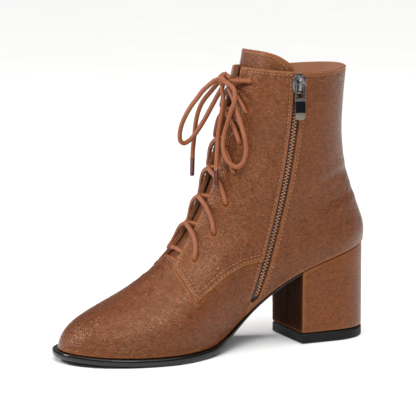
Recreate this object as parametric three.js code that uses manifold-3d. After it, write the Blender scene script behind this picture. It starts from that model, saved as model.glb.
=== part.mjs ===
// Lace-up ankle boot for the right foot, with a block heel and a zip on its medial side.
// Millimetres. +X points to the toe, +Y to the medial side, +Z up.
// The origin is the middle of the heel's resting face.
import * as THREE from "three";
import { mergeVertices } from "three/addons/utils/BufferGeometryUtils.js";
import Module from "manifold-3d";

const wasm = await Module();
wasm.setup();

// Driving dimensions of the last and the shaft
const lastLength = 226.3;
const ballWidth = 86;
const seatHeight = 66;
const collarHeight = 191;
const collarWidth = 74;
const collarDip = 2.6;
const toeSwing = 4;

// Driving dimensions of the bottom
const soleThickness = 5.3;
const soleFlange = 3.8;
const soleEdgeRadius = 2;
const heelLength = 56;
const heelWidth = 48;
const heelRound = 0.5;
const topLiftThickness = 6.8;
const insoleThickness = 3;

// Driving dimensions of the leather
const wall = 1.8;
const overlay = 1.0;
const fit = 0.3;
const throatGap = 17;
const tongueThickness = 1.8;
const tongueRise = 12;

// Driving dimensions of the lace
const laceDiameter = 3;
const holeDiameter = 3.8;
const holePairs = 7;
const holeSpread = 19;
const knotLength = 10;
const knotHeight = 8;
const knotDepth = 7;

// Driving dimensions of the zip
const zipSlot = 6;
const tapeWidth = 13;
const tapeThickness = 1;
const chainWidth = 4.2;
const sliderLength = 12;
const sliderWidth = 9;
const sliderThickness = 2.2;
const bridgeWidth = 2.2;
const bridgeLength = 10;
const bridgeHeight = 2.8;
const bridgeThickness = 1.2;
const pullLength = 24;
const pullWidth = 7;
const pullThickness = 1.6;
const pullBar = 1.4;
const pullWindowWidth = 4;
const pullWindowLength = 8;
const pullLean = 3;
const pullSway = 5;

// How finely the forms are cut into faces
const turnSteps = 56;
const riseSteps = 17;

// The last's bottom from the heel's back to the toe: how far along the last, the height of the sole's
// underside as a share of the seat height, and the sole's thickness and flange as shares of theirs.
const bottomTable = [
  { along: 0.0, tread: 1.0, sole: 0.32, flange: 0.05 },
  { along: 0.12, tread: 0.889, sole: 0.32, flange: 0.05 },
  { along: 0.245, tread: 0.743, sole: 0.33, flange: 0.06 },
  { along: 0.32, tread: 0.612, sole: 0.36, flange: 0.1 },
  { along: 0.4, tread: 0.425, sole: 0.44, flange: 0.22 },
  { along: 0.48, tread: 0.192, sole: 0.62, flange: 0.5 },
  { along: 0.54, tread: 0.046, sole: 0.84, flange: 0.8 },
  { along: 0.6, tread: 0.0, sole: 1.0, flange: 0.95 },
  { along: 0.72, tread: 0.0, sole: 0.98, flange: 1.0 },
  { along: 0.82, tread: 0.006, sole: 0.94, flange: 1.0 },
  { along: 0.92, tread: 0.025, sole: 0.88, flange: 1.0 },
  { along: 1.0, tread: 0.05, sole: 0.82, flange: 1.0 },
];

// Loops of the upper from its lower edge (rise 0) to the collar (rise 1). Each runs from a back point to a
// front point: x as a share of the last's length, z as a share of the way from the lower edge to the collar.
// Half widths at heel, waist and ball are shares of the half width there, and the ends are rounded over
// shares of the loop's own length.
const loopTable = [
  { rise: 0.0, backX: 0.0, backZ: 0.0, frontX: 1.0, frontZ: 0.0,
    heel: 0.58, waistIn: 0.54, waistOut: 0.62, ball: 0.977, backRound: 0.15, frontRound: 0.33 },
  { rise: 0.05, backX: -0.001, backZ: 0.046, frontX: 0.995, frontZ: 0.03,
    heel: 0.63, waistIn: 0.625, waistOut: 0.683, ball: 1.007, backRound: 0.155, frontRound: 0.335 },
  { rise: 0.12, backX: 0.0005, backZ: 0.092, frontX: 0.976, frontZ: 0.066,
    heel: 0.66, waistIn: 0.69, waistOut: 0.721, ball: 0.983, backRound: 0.16, frontRound: 0.353 },
  { rise: 0.2, backX: 0.01, backZ: 0.146, frontX: 0.94, frontZ: 0.101,
    heel: 0.663, waistIn: 0.718, waistOut: 0.735, ball: 0.889, backRound: 0.17, frontRound: 0.4 },
  { rise: 0.28, backX: 0.021, backZ: 0.196, frontX: 0.876, frontZ: 0.134,
    heel: 0.66, waistIn: 0.72, waistOut: 0.734, ball: 0.804, backRound: 0.18, frontRound: 0.46 },
  { rise: 0.37, backX: 0.036, backZ: 0.268, frontX: 0.792, frontZ: 0.181,
    heel: 0.657, waistIn: 0.72, waistOut: 0.73, ball: 0.73, backRound: 0.2, frontRound: 0.48 },
  { rise: 0.46, backX: 0.053, backZ: 0.348, frontX: 0.702, frontZ: 0.252,
    heel: 0.66, waistIn: 0.73, waistOut: 0.738, ball: 0.74, backRound: 0.25, frontRound: 0.556 },
  { rise: 0.56, backX: 0.069, backZ: 0.44, frontX: 0.605, frontZ: 0.371,
    heel: 0.72, waistIn: 0.772, waistOut: 0.772, ball: 0.772, backRound: 0.32, frontRound: 0.62 },
  { rise: 0.67, backX: 0.079, backZ: 0.547, frontX: 0.534, frontZ: 0.521,
    heel: 0.8, waistIn: 0.82, waistOut: 0.82, ball: 0.82, backRound: 0.38, frontRound: 0.6 },
  { rise: 0.79, backX: 0.086, backZ: 0.67, frontX: 0.484, frontZ: 0.688,
    heel: 0.87, waistIn: 0.87, waistOut: 0.87, ball: 0.87, backRound: 0.43, frontRound: 0.57 },
  { rise: 0.9, backX: 0.084, backZ: 0.815, frontX: 0.446, frontZ: 0.836,
    heel: 0.93, waistIn: 0.93, waistOut: 0.93, ball: 0.93, backRound: 0.47, frontRound: 0.53 },
  { rise: 1.0, backX: 0.077, backZ: 1.0, frontX: 0.414, frontZ: 1.0,
    heel: 1.0, waistIn: 1.0, waistOut: 1.0, ball: 1.0, backRound: 0.5, frontRound: 0.5 },
];

// Where the widths of a loop are taken, as shares of its length
const stationTable = { heel: 0.13, waistIn: 0.42, waistOut: 0.42, ballIn: 0.72, ballOut: 0.66 };

// The throat between the facings: its half width as a share of half the throat gap
const throatTable = [
  { rise: 0.4, half: 2.6 },
  { rise: 0.47, half: 1.95 },
  { rise: 0.52, half: 1.3 },
  { rise: 0.57, half: 1.0 },
  { rise: 0.76, half: 0.95 },
  { rise: 0.9, half: 0.72 },
  { rise: 1.0, half: 0.55 },
];
const throatBase = 0.42;
const vampEdge = 0.515;
const firstHole = 0.535;
const lastHole = 0.972;

// Side view of the raised quarters' lower seams, from the throat to the sole: shares of the last's length
// and of the collar's height. The medial seam runs to the zip and down along it.
const quarterIn = [
  { along: 0.8, up: 0.5 },
  { along: 0.66, up: 0.322 },
  { along: 0.627, up: 0.203 },
  { along: 0.585, up: 0.232 },
  { along: 0.52, up: 0.281 },
  { along: 0.46, up: 0.312 },
  { along: 0.4, up: 0.322 },
  { along: 0.38, up: 0.3 },
  { along: 0.43, up: 0.17 },
  { along: 0.46, up: 0.0 },
];
const quarterOut = [
  { along: 0.8, up: 0.49 },
  { along: 0.665, up: 0.3 },
  { along: 0.622, up: 0.203 },
  { along: 0.57, up: 0.245 },
  { along: 0.5, up: 0.295 },
  { along: 0.43, up: 0.318 },
  { along: 0.37, up: 0.3 },
  { along: 0.32, up: 0.255 },
  { along: 0.28, up: 0.18 },
  { along: 0.26, up: 0.0 },
];

// The zip's line down the medial side, in the same shares, from the collar down
const zipLine = [
  { up: 0.14, along: 0.427 },
  { up: 0.178, along: 0.417 },
  { up: 0.28, along: 0.392 },
  { up: 0.445, along: 0.351 },
  { up: 0.613, along: 0.321 },
  { up: 0.785, along: 0.302 },
  { up: 1.02, along: 0.29 },
];
const zipBottom = 0.182;
const sliderAt = 0.945;

const blackRubber = new THREE.MeshStandardMaterial({ color: 0x151414, roughness: 0.35, metalness: 0 });
const brownLeather = new THREE.MeshStandardMaterial({ color: 0x8a4f2c, roughness: 0.55, metalness: 0 });
const sockLining = new THREE.MeshStandardMaterial({ color: 0xb98a6f, roughness: 0.7, metalness: 0 });
const lace = new THREE.MeshStandardMaterial({ color: 0x9a5530, roughness: 0.7, metalness: 0 });
const darkTape = new THREE.MeshStandardMaterial({ color: 0x3a2a24, roughness: 0.6, metalness: 0.3 });
const gunmetal = new THREE.MeshStandardMaterial({ color: 0x3c3b3a, roughness: 0.25, metalness: 1 });

// Smooth value of a table's column at a place between its rows, without overshoot
function valueAt(table, key, column, place) {
  const last = table.length - 1;
  const rows = (k) => table[Math.min(Math.max(k, 0), last)];
  let k = 0;
  while (k < last - 1 && place > table[k + 1][key]) k += 1;
  const slope = (a) => {
    const span = rows(a + 1)[key] - rows(a)[key];
    return span > 0 ? (rows(a + 1)[column] - rows(a)[column]) / span : 0;
  };
  const tangent = (a) => {
    if (a === 0) return slope(0);
    if (a === last) return slope(last - 1);
    const before = slope(a - 1);
    const after = slope(a);
    if (before * after <= 0) return 0;
    return (2 * before * after) / (before + after);
  };
  const span = table[k + 1][key] - table[k][key];
  const s = Math.min(Math.max((place - table[k][key]) / span, 0), 1);
  const start = table[k][column];
  const end = table[k + 1][column];
  const a = tangent(k) * span;
  const b = tangent(k + 1) * span;
  return start + s * (a + s * (3 * (end - start) - 2 * a - b + s * (2 * (start - end) + a + b)));
}

const backX = -heelLength / 2;
const toeTip = backX + lastLength;
const breastX = heelLength / 2;
const alongLast = (x) => (x - backX) / lastLength;

const soleDepth = (x) => soleThickness * valueAt(bottomTable, "along", "sole", alongLast(x));
const treadHeight = (x) => seatHeight * valueAt(bottomTable, "along", "tread", alongLast(x));

// Height of the upper's lower edge, the same all across the last
const featherHeight = (x) => treadHeight(x) + soleDepth(x) + fit;

// How far in a rounded end brings a half width: a quarter ellipse over the end's length
function endShare(along, backRound, frontRound) {
  const back = along < backRound ? 1 - along / backRound : 0;
  const front = frontRound > 0 && along > 1 - frontRound ? (along - 1 + frontRound) / frontRound : 0;
  return Math.sqrt(Math.max(0, 1 - back * back)) * Math.sqrt(Math.max(0, 1 - front * front));
}

const smooth = (s) => {
  const t = Math.min(Math.max(s, 0), 1);
  return t * t * (3 - 2 * t);
};

// A loop's half width on one side, before its ends are rounded
function halfWidth(loop, along, inside) {
  const waistAt = inside ? stationTable.waistIn : stationTable.waistOut;
  const ballAt = inside ? stationTable.ballIn : stationTable.ballOut;
  const waist = inside ? loop.waistIn : loop.waistOut;
  const toWaist = smooth((along - stationTable.heel) / (waistAt - stationTable.heel));
  const toBall = smooth((along - waistAt) / (ballAt - waistAt));
  return loop.heel + (waist - loop.heel) * toWaist + (loop.ball - waist) * toBall;
}

const loopColumns = ["backX", "backZ", "frontX", "frontZ", "heel", "waistIn", "waistOut", "ball",
  "backRound", "frontRound"];

const loops = new Map();
function loopAt(rise) {
  if (!loops.has(rise)) {
    const loop = {};
    for (const column of loopColumns) loop[column] = valueAt(loopTable, "rise", column, rise);
    loops.set(rise, loop);
  }
  return loops.get(rise);
}

// Above this rise the loops no longer follow the last's arch, and over this one they dip with the collar
const archFade = 0.45;
const dipFrom = 0.6;

// How far the toe has swung to the medial side, from the waist on
const swingAt = (x) => toeSwing * smooth(alongLast(x) * 1.6 - 0.6);

// Point of the upper's outer form: rise from 0 at the lower edge to 1 at the collar, turn from 0 at the back
// through the medial side to the toe at half a turn and back along the lateral side. Above 1 it goes on up.
function formPoint(rise, turn) {
  const loop = loopAt(Math.min(rise, 1));
  const along = (1 - Math.cos(turn)) / 2;
  const inside = Math.sin(turn) >= 0;
  const over = Math.max(rise - 1, 0);
  const x0 = backX + lastLength * loop.backX;
  const x1 = backX + lastLength * loop.frontX;
  const seat = featherHeight(backX);
  const toe = featherHeight(toeTip);
  const z0 = seat + (collarHeight - seat) * loop.backZ;
  const z1 = toe + (collarHeight - toe) * loop.frontZ;
  const x = x0 + (x1 - x0) * along;
  const fade = Math.max(0, 1 - Math.min(rise, 1) / archFade) ** 2;
  const arch = featherHeight(backX + lastLength * along) - (seat + (toe - seat) * along);
  const dip = collarDip * smooth((Math.min(rise, 1) - dipFrom) / (1 - dipFrom)) * Math.sin(turn) ** 2;
  const half = (ballWidth + (collarWidth - ballWidth) * Math.min(rise, 1)) / 2;
  const width = half * halfWidth(loop, along, inside) * endShare(along, loop.backRound, loop.frontRound);
  return new THREE.Vector3(
    x - over * (x1 - x0) * 0.32 * along,
    swingAt(x) + (inside ? width : -width),
    z0 + (z1 - z0) * along + arch * fade - dip + over * (collarHeight - seat),
  );
}

// Outward normal of the form, by small steps along rise and turn
function formNormal(rise, turn) {
  const step = 1e-3;
  const alongTurn = formPoint(rise, turn + step).sub(formPoint(rise, turn - step));
  const alongRise = formPoint(rise + step, turn).sub(formPoint(Math.max(rise - step, 0), turn));
  return alongRise.cross(alongTurn).normalize();
}

// Point of the form moved out along its normal; on the lower edge it stays on the last's bottom
function offsetPoint(rise, turn, out) {
  const normal = formNormal(rise, turn);
  if (rise <= 0) normal.setZ(0).normalize();
  const point = formPoint(rise, turn).addScaledVector(normal, out);
  if (rise <= 0) point.z = featherHeight(point.x);
  return point;
}

// Rise and turn of the form's point at a place in the side view, on the medial (1) or lateral (-1) side
function placeOnSide(x, z, side) {
  const turnAt = (rise) => {
    const loop = loopAt(rise);
    const along = Math.min(Math.max((alongLast(x) - loop.backX) / (loop.frontX - loop.backX), 0), 1);
    const turn = Math.acos(1 - 2 * along);
    return side > 0 ? turn : 2 * Math.PI - turn;
  };
  let low = 0;
  let high = 1;
  for (let k = 0; k < 24; k += 1) {
    const middle = (low + high) / 2;
    if (formPoint(middle, turnAt(middle)).z < z) low = middle;
    else high = middle;
  }
  return { rise: low, turn: turnAt(low) };
}

// A local frame: x across, y down the piece, z out of the leather
function frameFrom(origin, down, out) {
  const zAxis = out.clone().normalize();
  const yAxis = down.clone().addScaledVector(zAxis, -down.dot(zAxis)).normalize();
  const xAxis = yAxis.clone().cross(zAxis);
  return new THREE.Matrix4().makeBasis(xAxis, yAxis, zAxis).setPosition(origin);
}

// The front ridge's direction at a rise, going up
function ridgeDirection(rise) {
  const step = 1e-3;
  return formPoint(rise + step, Math.PI).sub(formPoint(rise - step, Math.PI)).setY(0).normalize();
}

// Rise and turn of the form's point straight across the front ridge from one of its points, so far to a side
function placeAcross(ridgeRise, across) {
  const ridge = formPoint(ridgeRise, Math.PI);
  const up = ridgeDirection(ridgeRise);
  const side = across < 0 ? -1 : 1;
  const turnAt = (rise) => {
    let low = Math.PI / 2;
    let high = Math.PI;
    for (let k = 0; k < 22; k += 1) {
      const middle = (low + high) / 2;
      const point = formPoint(rise, side > 0 ? middle : 2 * Math.PI - middle);
      if ((point.y - swingAt(point.x)) * side > Math.abs(across)) low = middle;
      else high = middle;
    }
    return side > 0 ? low : 2 * Math.PI - low;
  };
  let low = 0.1;
  let high = 1.3;
  for (let k = 0; k < 22; k += 1) {
    const middle = (low + high) / 2;
    if (formPoint(middle, turnAt(middle)).sub(ridge).dot(up) < 0) low = middle;
    else high = middle;
  }
  return { rise: low, turn: turnAt(low) };
}

function acrossPoint(ridgeRise, across, out) {
  const place = placeAcross(ridgeRise, across);
  return offsetPoint(place.rise, place.turn, out);
}

// A geometry from points and triangles, turned the right way round
function geometryOf(points, faces) {
  let volume = 0;
  for (const [a, b, c] of faces) {
    volume += points[a].dot(points[b].clone().cross(points[c]));
  }
  const geometry = new THREE.BufferGeometry();
  geometry.setAttribute("position", new THREE.Float32BufferAttribute(points.flatMap((p) => p.toArray()), 3));
  geometry.setIndex(faces.flatMap(([a, b, c]) => (volume > 0 ? [a, b, c] : [a, c, b])));
  return geometry;
}

// Side strips between neighbouring rings of the same number of points
function stripFaces(ringCount, size, faces) {
  for (let r = 0; r < ringCount - 1; r += 1) {
    for (let k = 0; k < size; k += 1) {
      const next = (k + 1) % size;
      const a = r * size + k;
      const b = r * size + next;
      faces.push([a, b, b + size], [a, b + size, a + size]);
    }
  }
}

// A cap straight across a ring: its first point stands alone at one end, and each other point pairs with
// the one as far from it on the other side
function capFaces(start, size, flip, faces) {
  const add = (a, b, c) => faces.push(flip ? [a, c, b] : [a, b, c]);
  for (let k = 0; k < size / 2; k += 1) {
    const a = start + k;
    const b = start + k + 1;
    const c = start + ((size - k - 1) % size);
    const d = start + ((size - k) % size);
    if (b !== c) add(a, b, c);
    if (d !== a) add(a, c, d);
  }
}

// A closed solid through rings of points
function loft(rings) {
  const size = rings[0].length;
  const faces = [];
  stripFaces(rings.length, size, faces);
  capFaces(0, size, true, faces);
  capFaces((rings.length - 1) * size, size, false, faces);
  return geometryOf(rings.flat(), faces);
}

// A closed tube of wall: outer rings going up, then inner rings coming down, joined at both rims
function shell(outer, inner) {
  const rings = [...outer, ...inner.slice().reverse()];
  const size = rings[0].length;
  const faces = [];
  stripFaces(rings.length, size, faces);
  const last = (rings.length - 1) * size;
  for (let k = 0; k < size; k += 1) {
    const next = (k + 1) % size;
    faces.push([last + k, last + next, next], [last + k, next, k]);
  }
  return geometryOf(rings.flat(), faces);
}

// A flat outline in the side view, made a solid from one depth to another across the boot
function sideSolid(outline, fromY, toY) {
  const shape = new THREE.Shape(outline.map(([x, z]) => new THREE.Vector2(x, z)));
  const geometry = new THREE.ExtrudeGeometry(shape, { depth: toY - fromY, bevelEnabled: false });
  geometry.rotateX(Math.PI / 2);
  geometry.translate(0, toY, 0);
  return solidOf(geometry);
}

function solidOf(geometry) {
  const bare = new THREE.BufferGeometry();
  bare.setAttribute("position", geometry.getAttribute("position"));
  if (geometry.index) bare.setIndex(geometry.index);
  const merged = mergeVertices(bare, 1e-4);
  return new wasm.Manifold(new wasm.Mesh({
    numProp: 3,
    vertProperties: new Float32Array(merged.getAttribute("position").array),
    triVerts: new Uint32Array(merged.index.array),
  }));
}

function geometryOfSolid(solid) {
  const mesh = solid.getMesh();
  const geometry = new THREE.BufferGeometry();
  const positions = new Float32Array(mesh.numVert * 3);
  for (let k = 0; k < mesh.numVert; k += 1) {
    for (let axis = 0; axis < 3; axis += 1) {
      positions[3 * k + axis] = mesh.vertProperties[k * mesh.numProp + axis];
    }
  }
  geometry.setAttribute("position", new THREE.BufferAttribute(positions, 3));
  geometry.setIndex(Array.from(mesh.triVerts));
  return geometry;
}

// A cut solid's geometry where points closer than the smallest edge are one, without the faces and the
// specks that this flattens
function tidyGeometry(solid) {
  const merged = mergeVertices(geometryOfSolid(solid), smallestEdge);
  const index = merged.index.array;
  const kept = [];
  for (let k = 0; k < index.length; k += 3) {
    const [a, b, c] = [index[k], index[k + 1], index[k + 2]];
    if (a !== b && b !== c && c !== a) kept.push(a, b, c);
  }
  merged.setIndex(kept);
  const pieces = solidOf(merged).decompose();
  pieces.sort((first, second) => second.volume() - first.volume());
  return geometryOfSolid(pieces[0]);
}

// A round rod with flat ends along a list of points
function rod(points, diameter, sides = 8, steps = points.length * 2) {
  const section = new THREE.Shape();
  for (let k = 0; k < sides; k += 1) {
    const angle = (2 * Math.PI * k) / sides;
    const across = (diameter / 2) * Math.cos(angle);
    const up = (diameter / 2) * Math.sin(angle);
    if (k === 0) section.moveTo(across, up);
    else section.lineTo(across, up);
  }
  const path = new THREE.CatmullRomCurve3(points, false, "centripetal");
  return new THREE.ExtrudeGeometry(section, { steps, extrudePath: path, bevelEnabled: false });
}

const boot = new THREE.Group();

function addPart(name, geometry, material, frame = new THREE.Matrix4()) {
  const mesh = new THREE.Mesh(geometry, material);
  mesh.name = name;
  frame.decompose(mesh.position, mesh.quaternion, mesh.scale);
  boot.add(mesh);
}

// Turns lie a little closer at the sides, where a loop's points would be far apart
const turns = Array.from({ length: turnSteps }, (_, k) => {
  const even = (2 * Math.PI * k) / turnSteps;
  return even + 0.15 * Math.sin(2 * even);
});
const rises = Array.from({ length: riseSteps + 1 }, (_, k) => k / riseSteps);

function formRings(out, list, around = turns) {
  return list.map((rise) => around.map((turn) => offsetPoint(rise, turn, out)));
}

// Side-view places of a table, in millimetres
const inSideView = (rows) => rows.map((row) => [backX + lastLength * row.along, collarHeight * row.up]);

const throatHalf = (rise) => (throatGap / 2) * valueAt(throatTable, "rise", "half", rise);
const cutMargin = 12;
const rimStep = 0.4;
const liningShow = 0.5;
const smallestEdge = 0.03;

// The space between the facings from a rise up to above the collar
function throatCut(fromRise, narrower) {
  const steps = 14;
  const rings = [];
  for (let k = 0; k <= steps; k += 1) {
    const rise = fromRise + ((1.12 - fromRise) * k) / steps;
    const ridge = formPoint(rise, Math.PI);
    const half = throatHalf(rise) - narrower;
    const up = ridgeDirection(rise);
    const out = new THREE.Vector3(up.z, 0, -up.x);
    const corner = (across, depth) => ridge.clone().addScaledVector(out, depth)
      .add(new THREE.Vector3(0, across, 0));
    rings.push([corner(0, cutMargin), corner(half, cutMargin), corner(half, -cutMargin),
      corner(0, -cutMargin), corner(-half, -cutMargin), corner(-half, cutMargin)]);
  }
  return solidOf(loft(rings));
}

const zipX = (z) => backX + lastLength * valueAt(zipLine, "up", "along", z / collarHeight);

// Frame on the medial side at a place on the zip's line: y runs down the zip, z out of the leather
function zipFrame(z, out) {
  const step = 1;
  const place = placeOnSide(zipX(z), z, 1);
  const above = placeOnSide(zipX(z + step), z + step, 1);
  const below = placeOnSide(zipX(z - step), z - step, 1);
  const down = formPoint(below.rise, below.turn).sub(formPoint(above.rise, above.turn));
  return frameFrom(offsetPoint(place.rise, place.turn, out), down, formNormal(place.rise, place.turn));
}

// The slot that the zip closes, cut through the medial wall
function zipCut() {
  const left = [];
  const right = [];
  const steps = 10;
  const bottom = collarHeight * zipBottom;
  for (let k = 0; k <= steps; k += 1) {
    const z = bottom + ((collarHeight * 1.03 - bottom) * k) / steps;
    const slope = (zipX(z - 1) - zipX(z + 1)) / 2;
    const half = (zipSlot / 2) * Math.hypot(1, slope);
    left.push([zipX(z) - half, z]);
    right.push([zipX(z) + half, z]);
  }
  const tip = [zipX(bottom) + 1.2, bottom - zipSlot * 0.55];
  return sideSolid([...left, ...right.reverse(), tip], 4, ballWidth);
}

// Lace holes: rises of the front ridge, evenly spaced along it
const ridgeSteps = 120;
const ridgeLengths = [0];
for (let k = 1; k <= ridgeSteps; k += 1) {
  const from = firstHole + ((lastHole - firstHole) * (k - 1)) / ridgeSteps;
  const to = firstHole + ((lastHole - firstHole) * k) / ridgeSteps;
  ridgeLengths.push(ridgeLengths[k - 1] + formPoint(from, Math.PI).distanceTo(formPoint(to, Math.PI)));
}
function ridgeRiseAt(share) {
  const length = ridgeLengths[ridgeSteps] * Math.min(Math.max(share, 0), 1);
  let k = 1;
  while (k < ridgeSteps && ridgeLengths[k] < length) k += 1;
  const part = (length - ridgeLengths[k - 1]) / (ridgeLengths[k] - ridgeLengths[k - 1]);
  return firstHole + ((lastHole - firstHole) * (k - 1 + part)) / ridgeSteps;
}
const holeRises = Array.from({ length: holePairs }, (_, k) => ridgeRiseAt(k / (holePairs - 1)));
const holeAcross = (index) => holeSpread * (1.04 - (0.18 * index) / (holePairs - 1));

const holeSides = 10;
function holeCut(index, side) {
  const place = placeAcross(holeRises[index], side * holeAcross(index));
  const centre = offsetPoint(place.rise, place.turn, 0);
  const cylinder = new THREE.CylinderGeometry(holeDiameter / 2, holeDiameter / 2, holeDiameter * 2.6, holeSides);
  cylinder.rotateX(Math.PI / 2);
  cylinder.applyMatrix4(frameFrom(centre, new THREE.Vector3(0, 0, -1), formNormal(place.rise, place.turn)));
  return solidOf(cylinder);
}

// A ring of the quarters' layer, which stops a little short of the wall's lower and upper rims
function layerRings(out) {
  const rings = formRings(out, rises);
  for (const point of rings[0]) point.z += rimStep;
  for (const point of rings[rings.length - 1]) point.z -= rimStep;
  return rings;
}

// The upper: a wall of vamp and lining all round, with the quarters lying on it from their seams back
function upper() {
  const wallSolid = solidOf(shell(formRings(0, rises), formRings(-wall, rises)));
  const layer = solidOf(shell(layerRings(overlay), layerRings(-wall / 2)));
  const behind = [[-lastLength, -10], [-lastLength, collarHeight * 1.3], [toeTip * 0.8, collarHeight * 1.3]];
  const divide = rimStep;
  const medial = sideSolid([...behind, ...inSideView(quarterIn)], divide, ballWidth);
  const lateral = sideSolid([...behind, ...inSideView(quarterOut)], -ballWidth, divide);
  const quarters = layer.intersect(medial.add(lateral)).subtract(throatCut(throatBase, 0));
  let solid = wallSolid.subtract(throatCut(vampEdge, liningShow)).add(quarters).subtract(zipCut());
  for (let k = 0; k < holePairs; k += 1) {
    solid = solid.subtract(holeCut(k, 1)).subtract(holeCut(k, -1));
  }
  return tidyGeometry(solid);
}

// The sole's outline, grown by an amount, from the heel's breast round the toe
function soleRing(grow, height) {
  const front = breastX + fit;
  const startTurn = Math.acos(1 - 2 * alongLast(front));
  const between = turns.filter((turn) => turn > startTurn + 0.04 && turn < 2 * Math.PI - startTurn - 0.04);
  const ring = [new THREE.Vector3(front, 0, height(front))];
  for (const turn of [startTurn, ...between, 2 * Math.PI - startTurn]) {
    const border = formPoint(0, turn);
    const normal = formNormal(0, turn).setZ(0).normalize();
    const flange = soleFlange * valueAt(bottomTable, "along", "flange", alongLast(border.x));
    const point = border.addScaledVector(normal, flange + grow);
    point.x = between.includes(turn) ? Math.max(point.x, front + 0.5) : front;
    point.z = height(point.x);
    ring.push(point);
  }
  return ring;
}

// The outsole: rounded at its edge, flat under the ball, thin at the waist, up to the heel's breast
function outsole() {
  const top = (x) => featherHeight(x) - fit;
  const bottom = treadHeight;
  const layer = (inset, depth) => soleRing(-soleEdgeRadius * inset,
    (x) => top(x) + (bottom(x) - top(x)) * depth);
  return loft([layer(0.35, 0), layer(0, 0.2), layer(0, 0.7), layer(0.3, 0.92), layer(0.9, 1)]);
}

// The insole lies inside the upper's lower edge, on the sole and the heel
function insole() {
  const ring = (inset, up) => turns.map((turn) => {
    const normal = formNormal(0, turn).setZ(0).normalize();
    const point = formPoint(0, turn).addScaledVector(normal, -inset);
    point.z = featherHeight(point.x) + up;
    return point;
  });
  const clear = wall + fit;
  return loft([ring(clear + 0.5, 0), ring(clear + 0.3, insoleThickness * 0.3),
    ring(clear + 1.4, insoleThickness)]);
}

// The heel's outline: a flat breast in front, straight sides and a round back. Share 1 is its top, which
// follows the upper's lower edge, and share 0 its foot.
function heelRing(share, z) {
  const steps = 18;
  const ring = [new THREE.Vector3(breastX, 0, 0)];
  const startTurn = Math.acos(1 - 2 * alongLast(breastX));
  for (let k = 0; k <= steps; k += 1) {
    const turn = startTurn - (2 * startTurn * k) / steps;
    const border = formPoint(0, turn);
    const footHalf = (heelWidth / 2) * endShare(alongLast(border.x) * lastLength / heelLength, heelRound, 0);
    const side = k === steps / 2 ? 0 : Math.sign(turn);
    const y = border.y * share + side * footHalf * (1 - share);
    ring.push(new THREE.Vector3(border.x, y, 0));
  }
  for (const point of ring) point.z = typeof z === "number" ? z : z(point.x);
  return ring;
}

function heelBlock() {
  const foot = topLiftThickness + fit;
  const top = (x) => featherHeight(x) - fit;
  return loft([heelRing(0, foot), heelRing(0.3, (x) => foot + (top(x) - foot) * 0.4),
    heelRing(1, top)]);
}

function topLift() {
  return loft([heelRing(0, 0), heelRing(0, topLiftThickness)]);
}

// The tongue lies inside the wall, deeper in the middle and at the top, and stands above the collar
const tongueBottom = 0.44;
const tongueSpread = 1.42;
const tongueCrown = 0.15;

function tongueOut(rise, turn) {
  const middle = Math.max(0, 1 - Math.abs(turn - Math.PI) / 0.75);
  const dip = (0.3 + 1.3 * smooth((rise - 0.55) / 0.3) + 2 * smooth((rise - 0.8) / 0.2)) * smooth(middle);
  const pastTape = (tapeThickness + fit) * smooth((Math.abs(turn - Math.PI) - 0.6) / 0.25);
  return -(wall + fit * 1.7 + dip + pastTape);
}

function tongue() {
  const rows = 15;
  const columns = 13;
  const top = 1 + tongueRise / (collarHeight - featherHeight(backX));
  const rings = [];
  for (let r = 0; r < rows; r += 1) {
    const share = r / (rows - 1);
    const outer = [];
    const inner = [];
    for (let c = 0; c < columns; c += 1) {
      const side = (2 * c) / (columns - 1) - 1;
      const highest = top - tongueCrown * Math.abs(side) ** 4.5;
      const rise = tongueBottom + (highest - tongueBottom) * share;
      const spread = tongueSpread * (0.38 + 0.62 * smooth(share * 1.3));
      const turn = Math.PI + side * spread;
      outer.push(offsetPoint(rise, turn, tongueOut(rise, turn)));
      inner.push(offsetPoint(rise, turn, tongueOut(rise, turn) - tongueThickness));
    }
    rings.push([...outer, ...inner.reverse()]);
  }
  return stripLoft(rings);
}

// A closed solid through rings whose first half faces its second half, point by point from the ends in
function stripLoft(rings) {
  const size = rings[0].length;
  const faces = [];
  stripFaces(rings.length, size, faces);
  for (const [start, flip] of [[0, true], [(rings.length - 1) * size, false]]) {
    for (let k = 0; k < size / 2 - 1; k += 1) {
      const a = start + k;
      const b = start + k + 1;
      const c = start + size - 2 - k;
      const d = start + size - 1 - k;
      const pair = [[a, b, c], [a, c, d]];
      faces.push(...pair.map(([p, q, r]) => (flip ? [p, r, q] : [p, q, r])));
    }
  }
  return geometryOf(rings.flat(), faces);
}

// Place on the zip: so far across from its line at a height, so far out of the form
function zipPoint(z, across, out) {
  const slope = (zipX(z - 1) - zipX(z + 1)) / 2;
  const place = placeOnSide(zipX(z) + across * Math.hypot(1, slope), z, 1);
  return offsetPoint(place.rise, place.turn, out);
}

// The tape behind the slot with the closed chain standing in it, from above the insole to the collar
const chainFace = -0.5;
const tapeRows = 13;

function zipTape() {
  const front = -(wall + fit * 1.6);
  const back = front - tapeThickness;
  const slotEnd = collarHeight * zipBottom + fit;
  const top = collarHeight - collarDip - 1;
  const edge = tapeWidth / 2;
  const rib = chainWidth / 2;
  const bottomAt = (across) => featherHeight(zipX(slotEnd) + across) + insoleThickness + 1.2;
  const rings = [];
  for (let r = 0; r < tapeRows; r += 1) {
    const share = r < 2 ? 0 : (r - 2) / (tapeRows - 3);
    const face = r < 2 ? front + fit / 3 : chainFace;
    const chainZ = slotEnd + (top - slotEnd) * share - (r === 1 ? fit : 0);
    const at = (across, out) => {
      const low = Math.min(bottomAt(across), slotEnd - 2 * fit);
      const z = r === 0 ? low : chainZ;
      return zipPoint(z, across, out);
    };
    rings.push([
      at(-edge, front), at(-rib, front), at(-rib, face), at(rib, face), at(rib, front), at(edge, front),
      at(edge, back), at(rib, back), at(rib * 0.7, back), at(-rib * 0.7, back), at(-rib, back), at(-edge, back),
    ]);
  }
  return stripLoft(rings);
}

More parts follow.
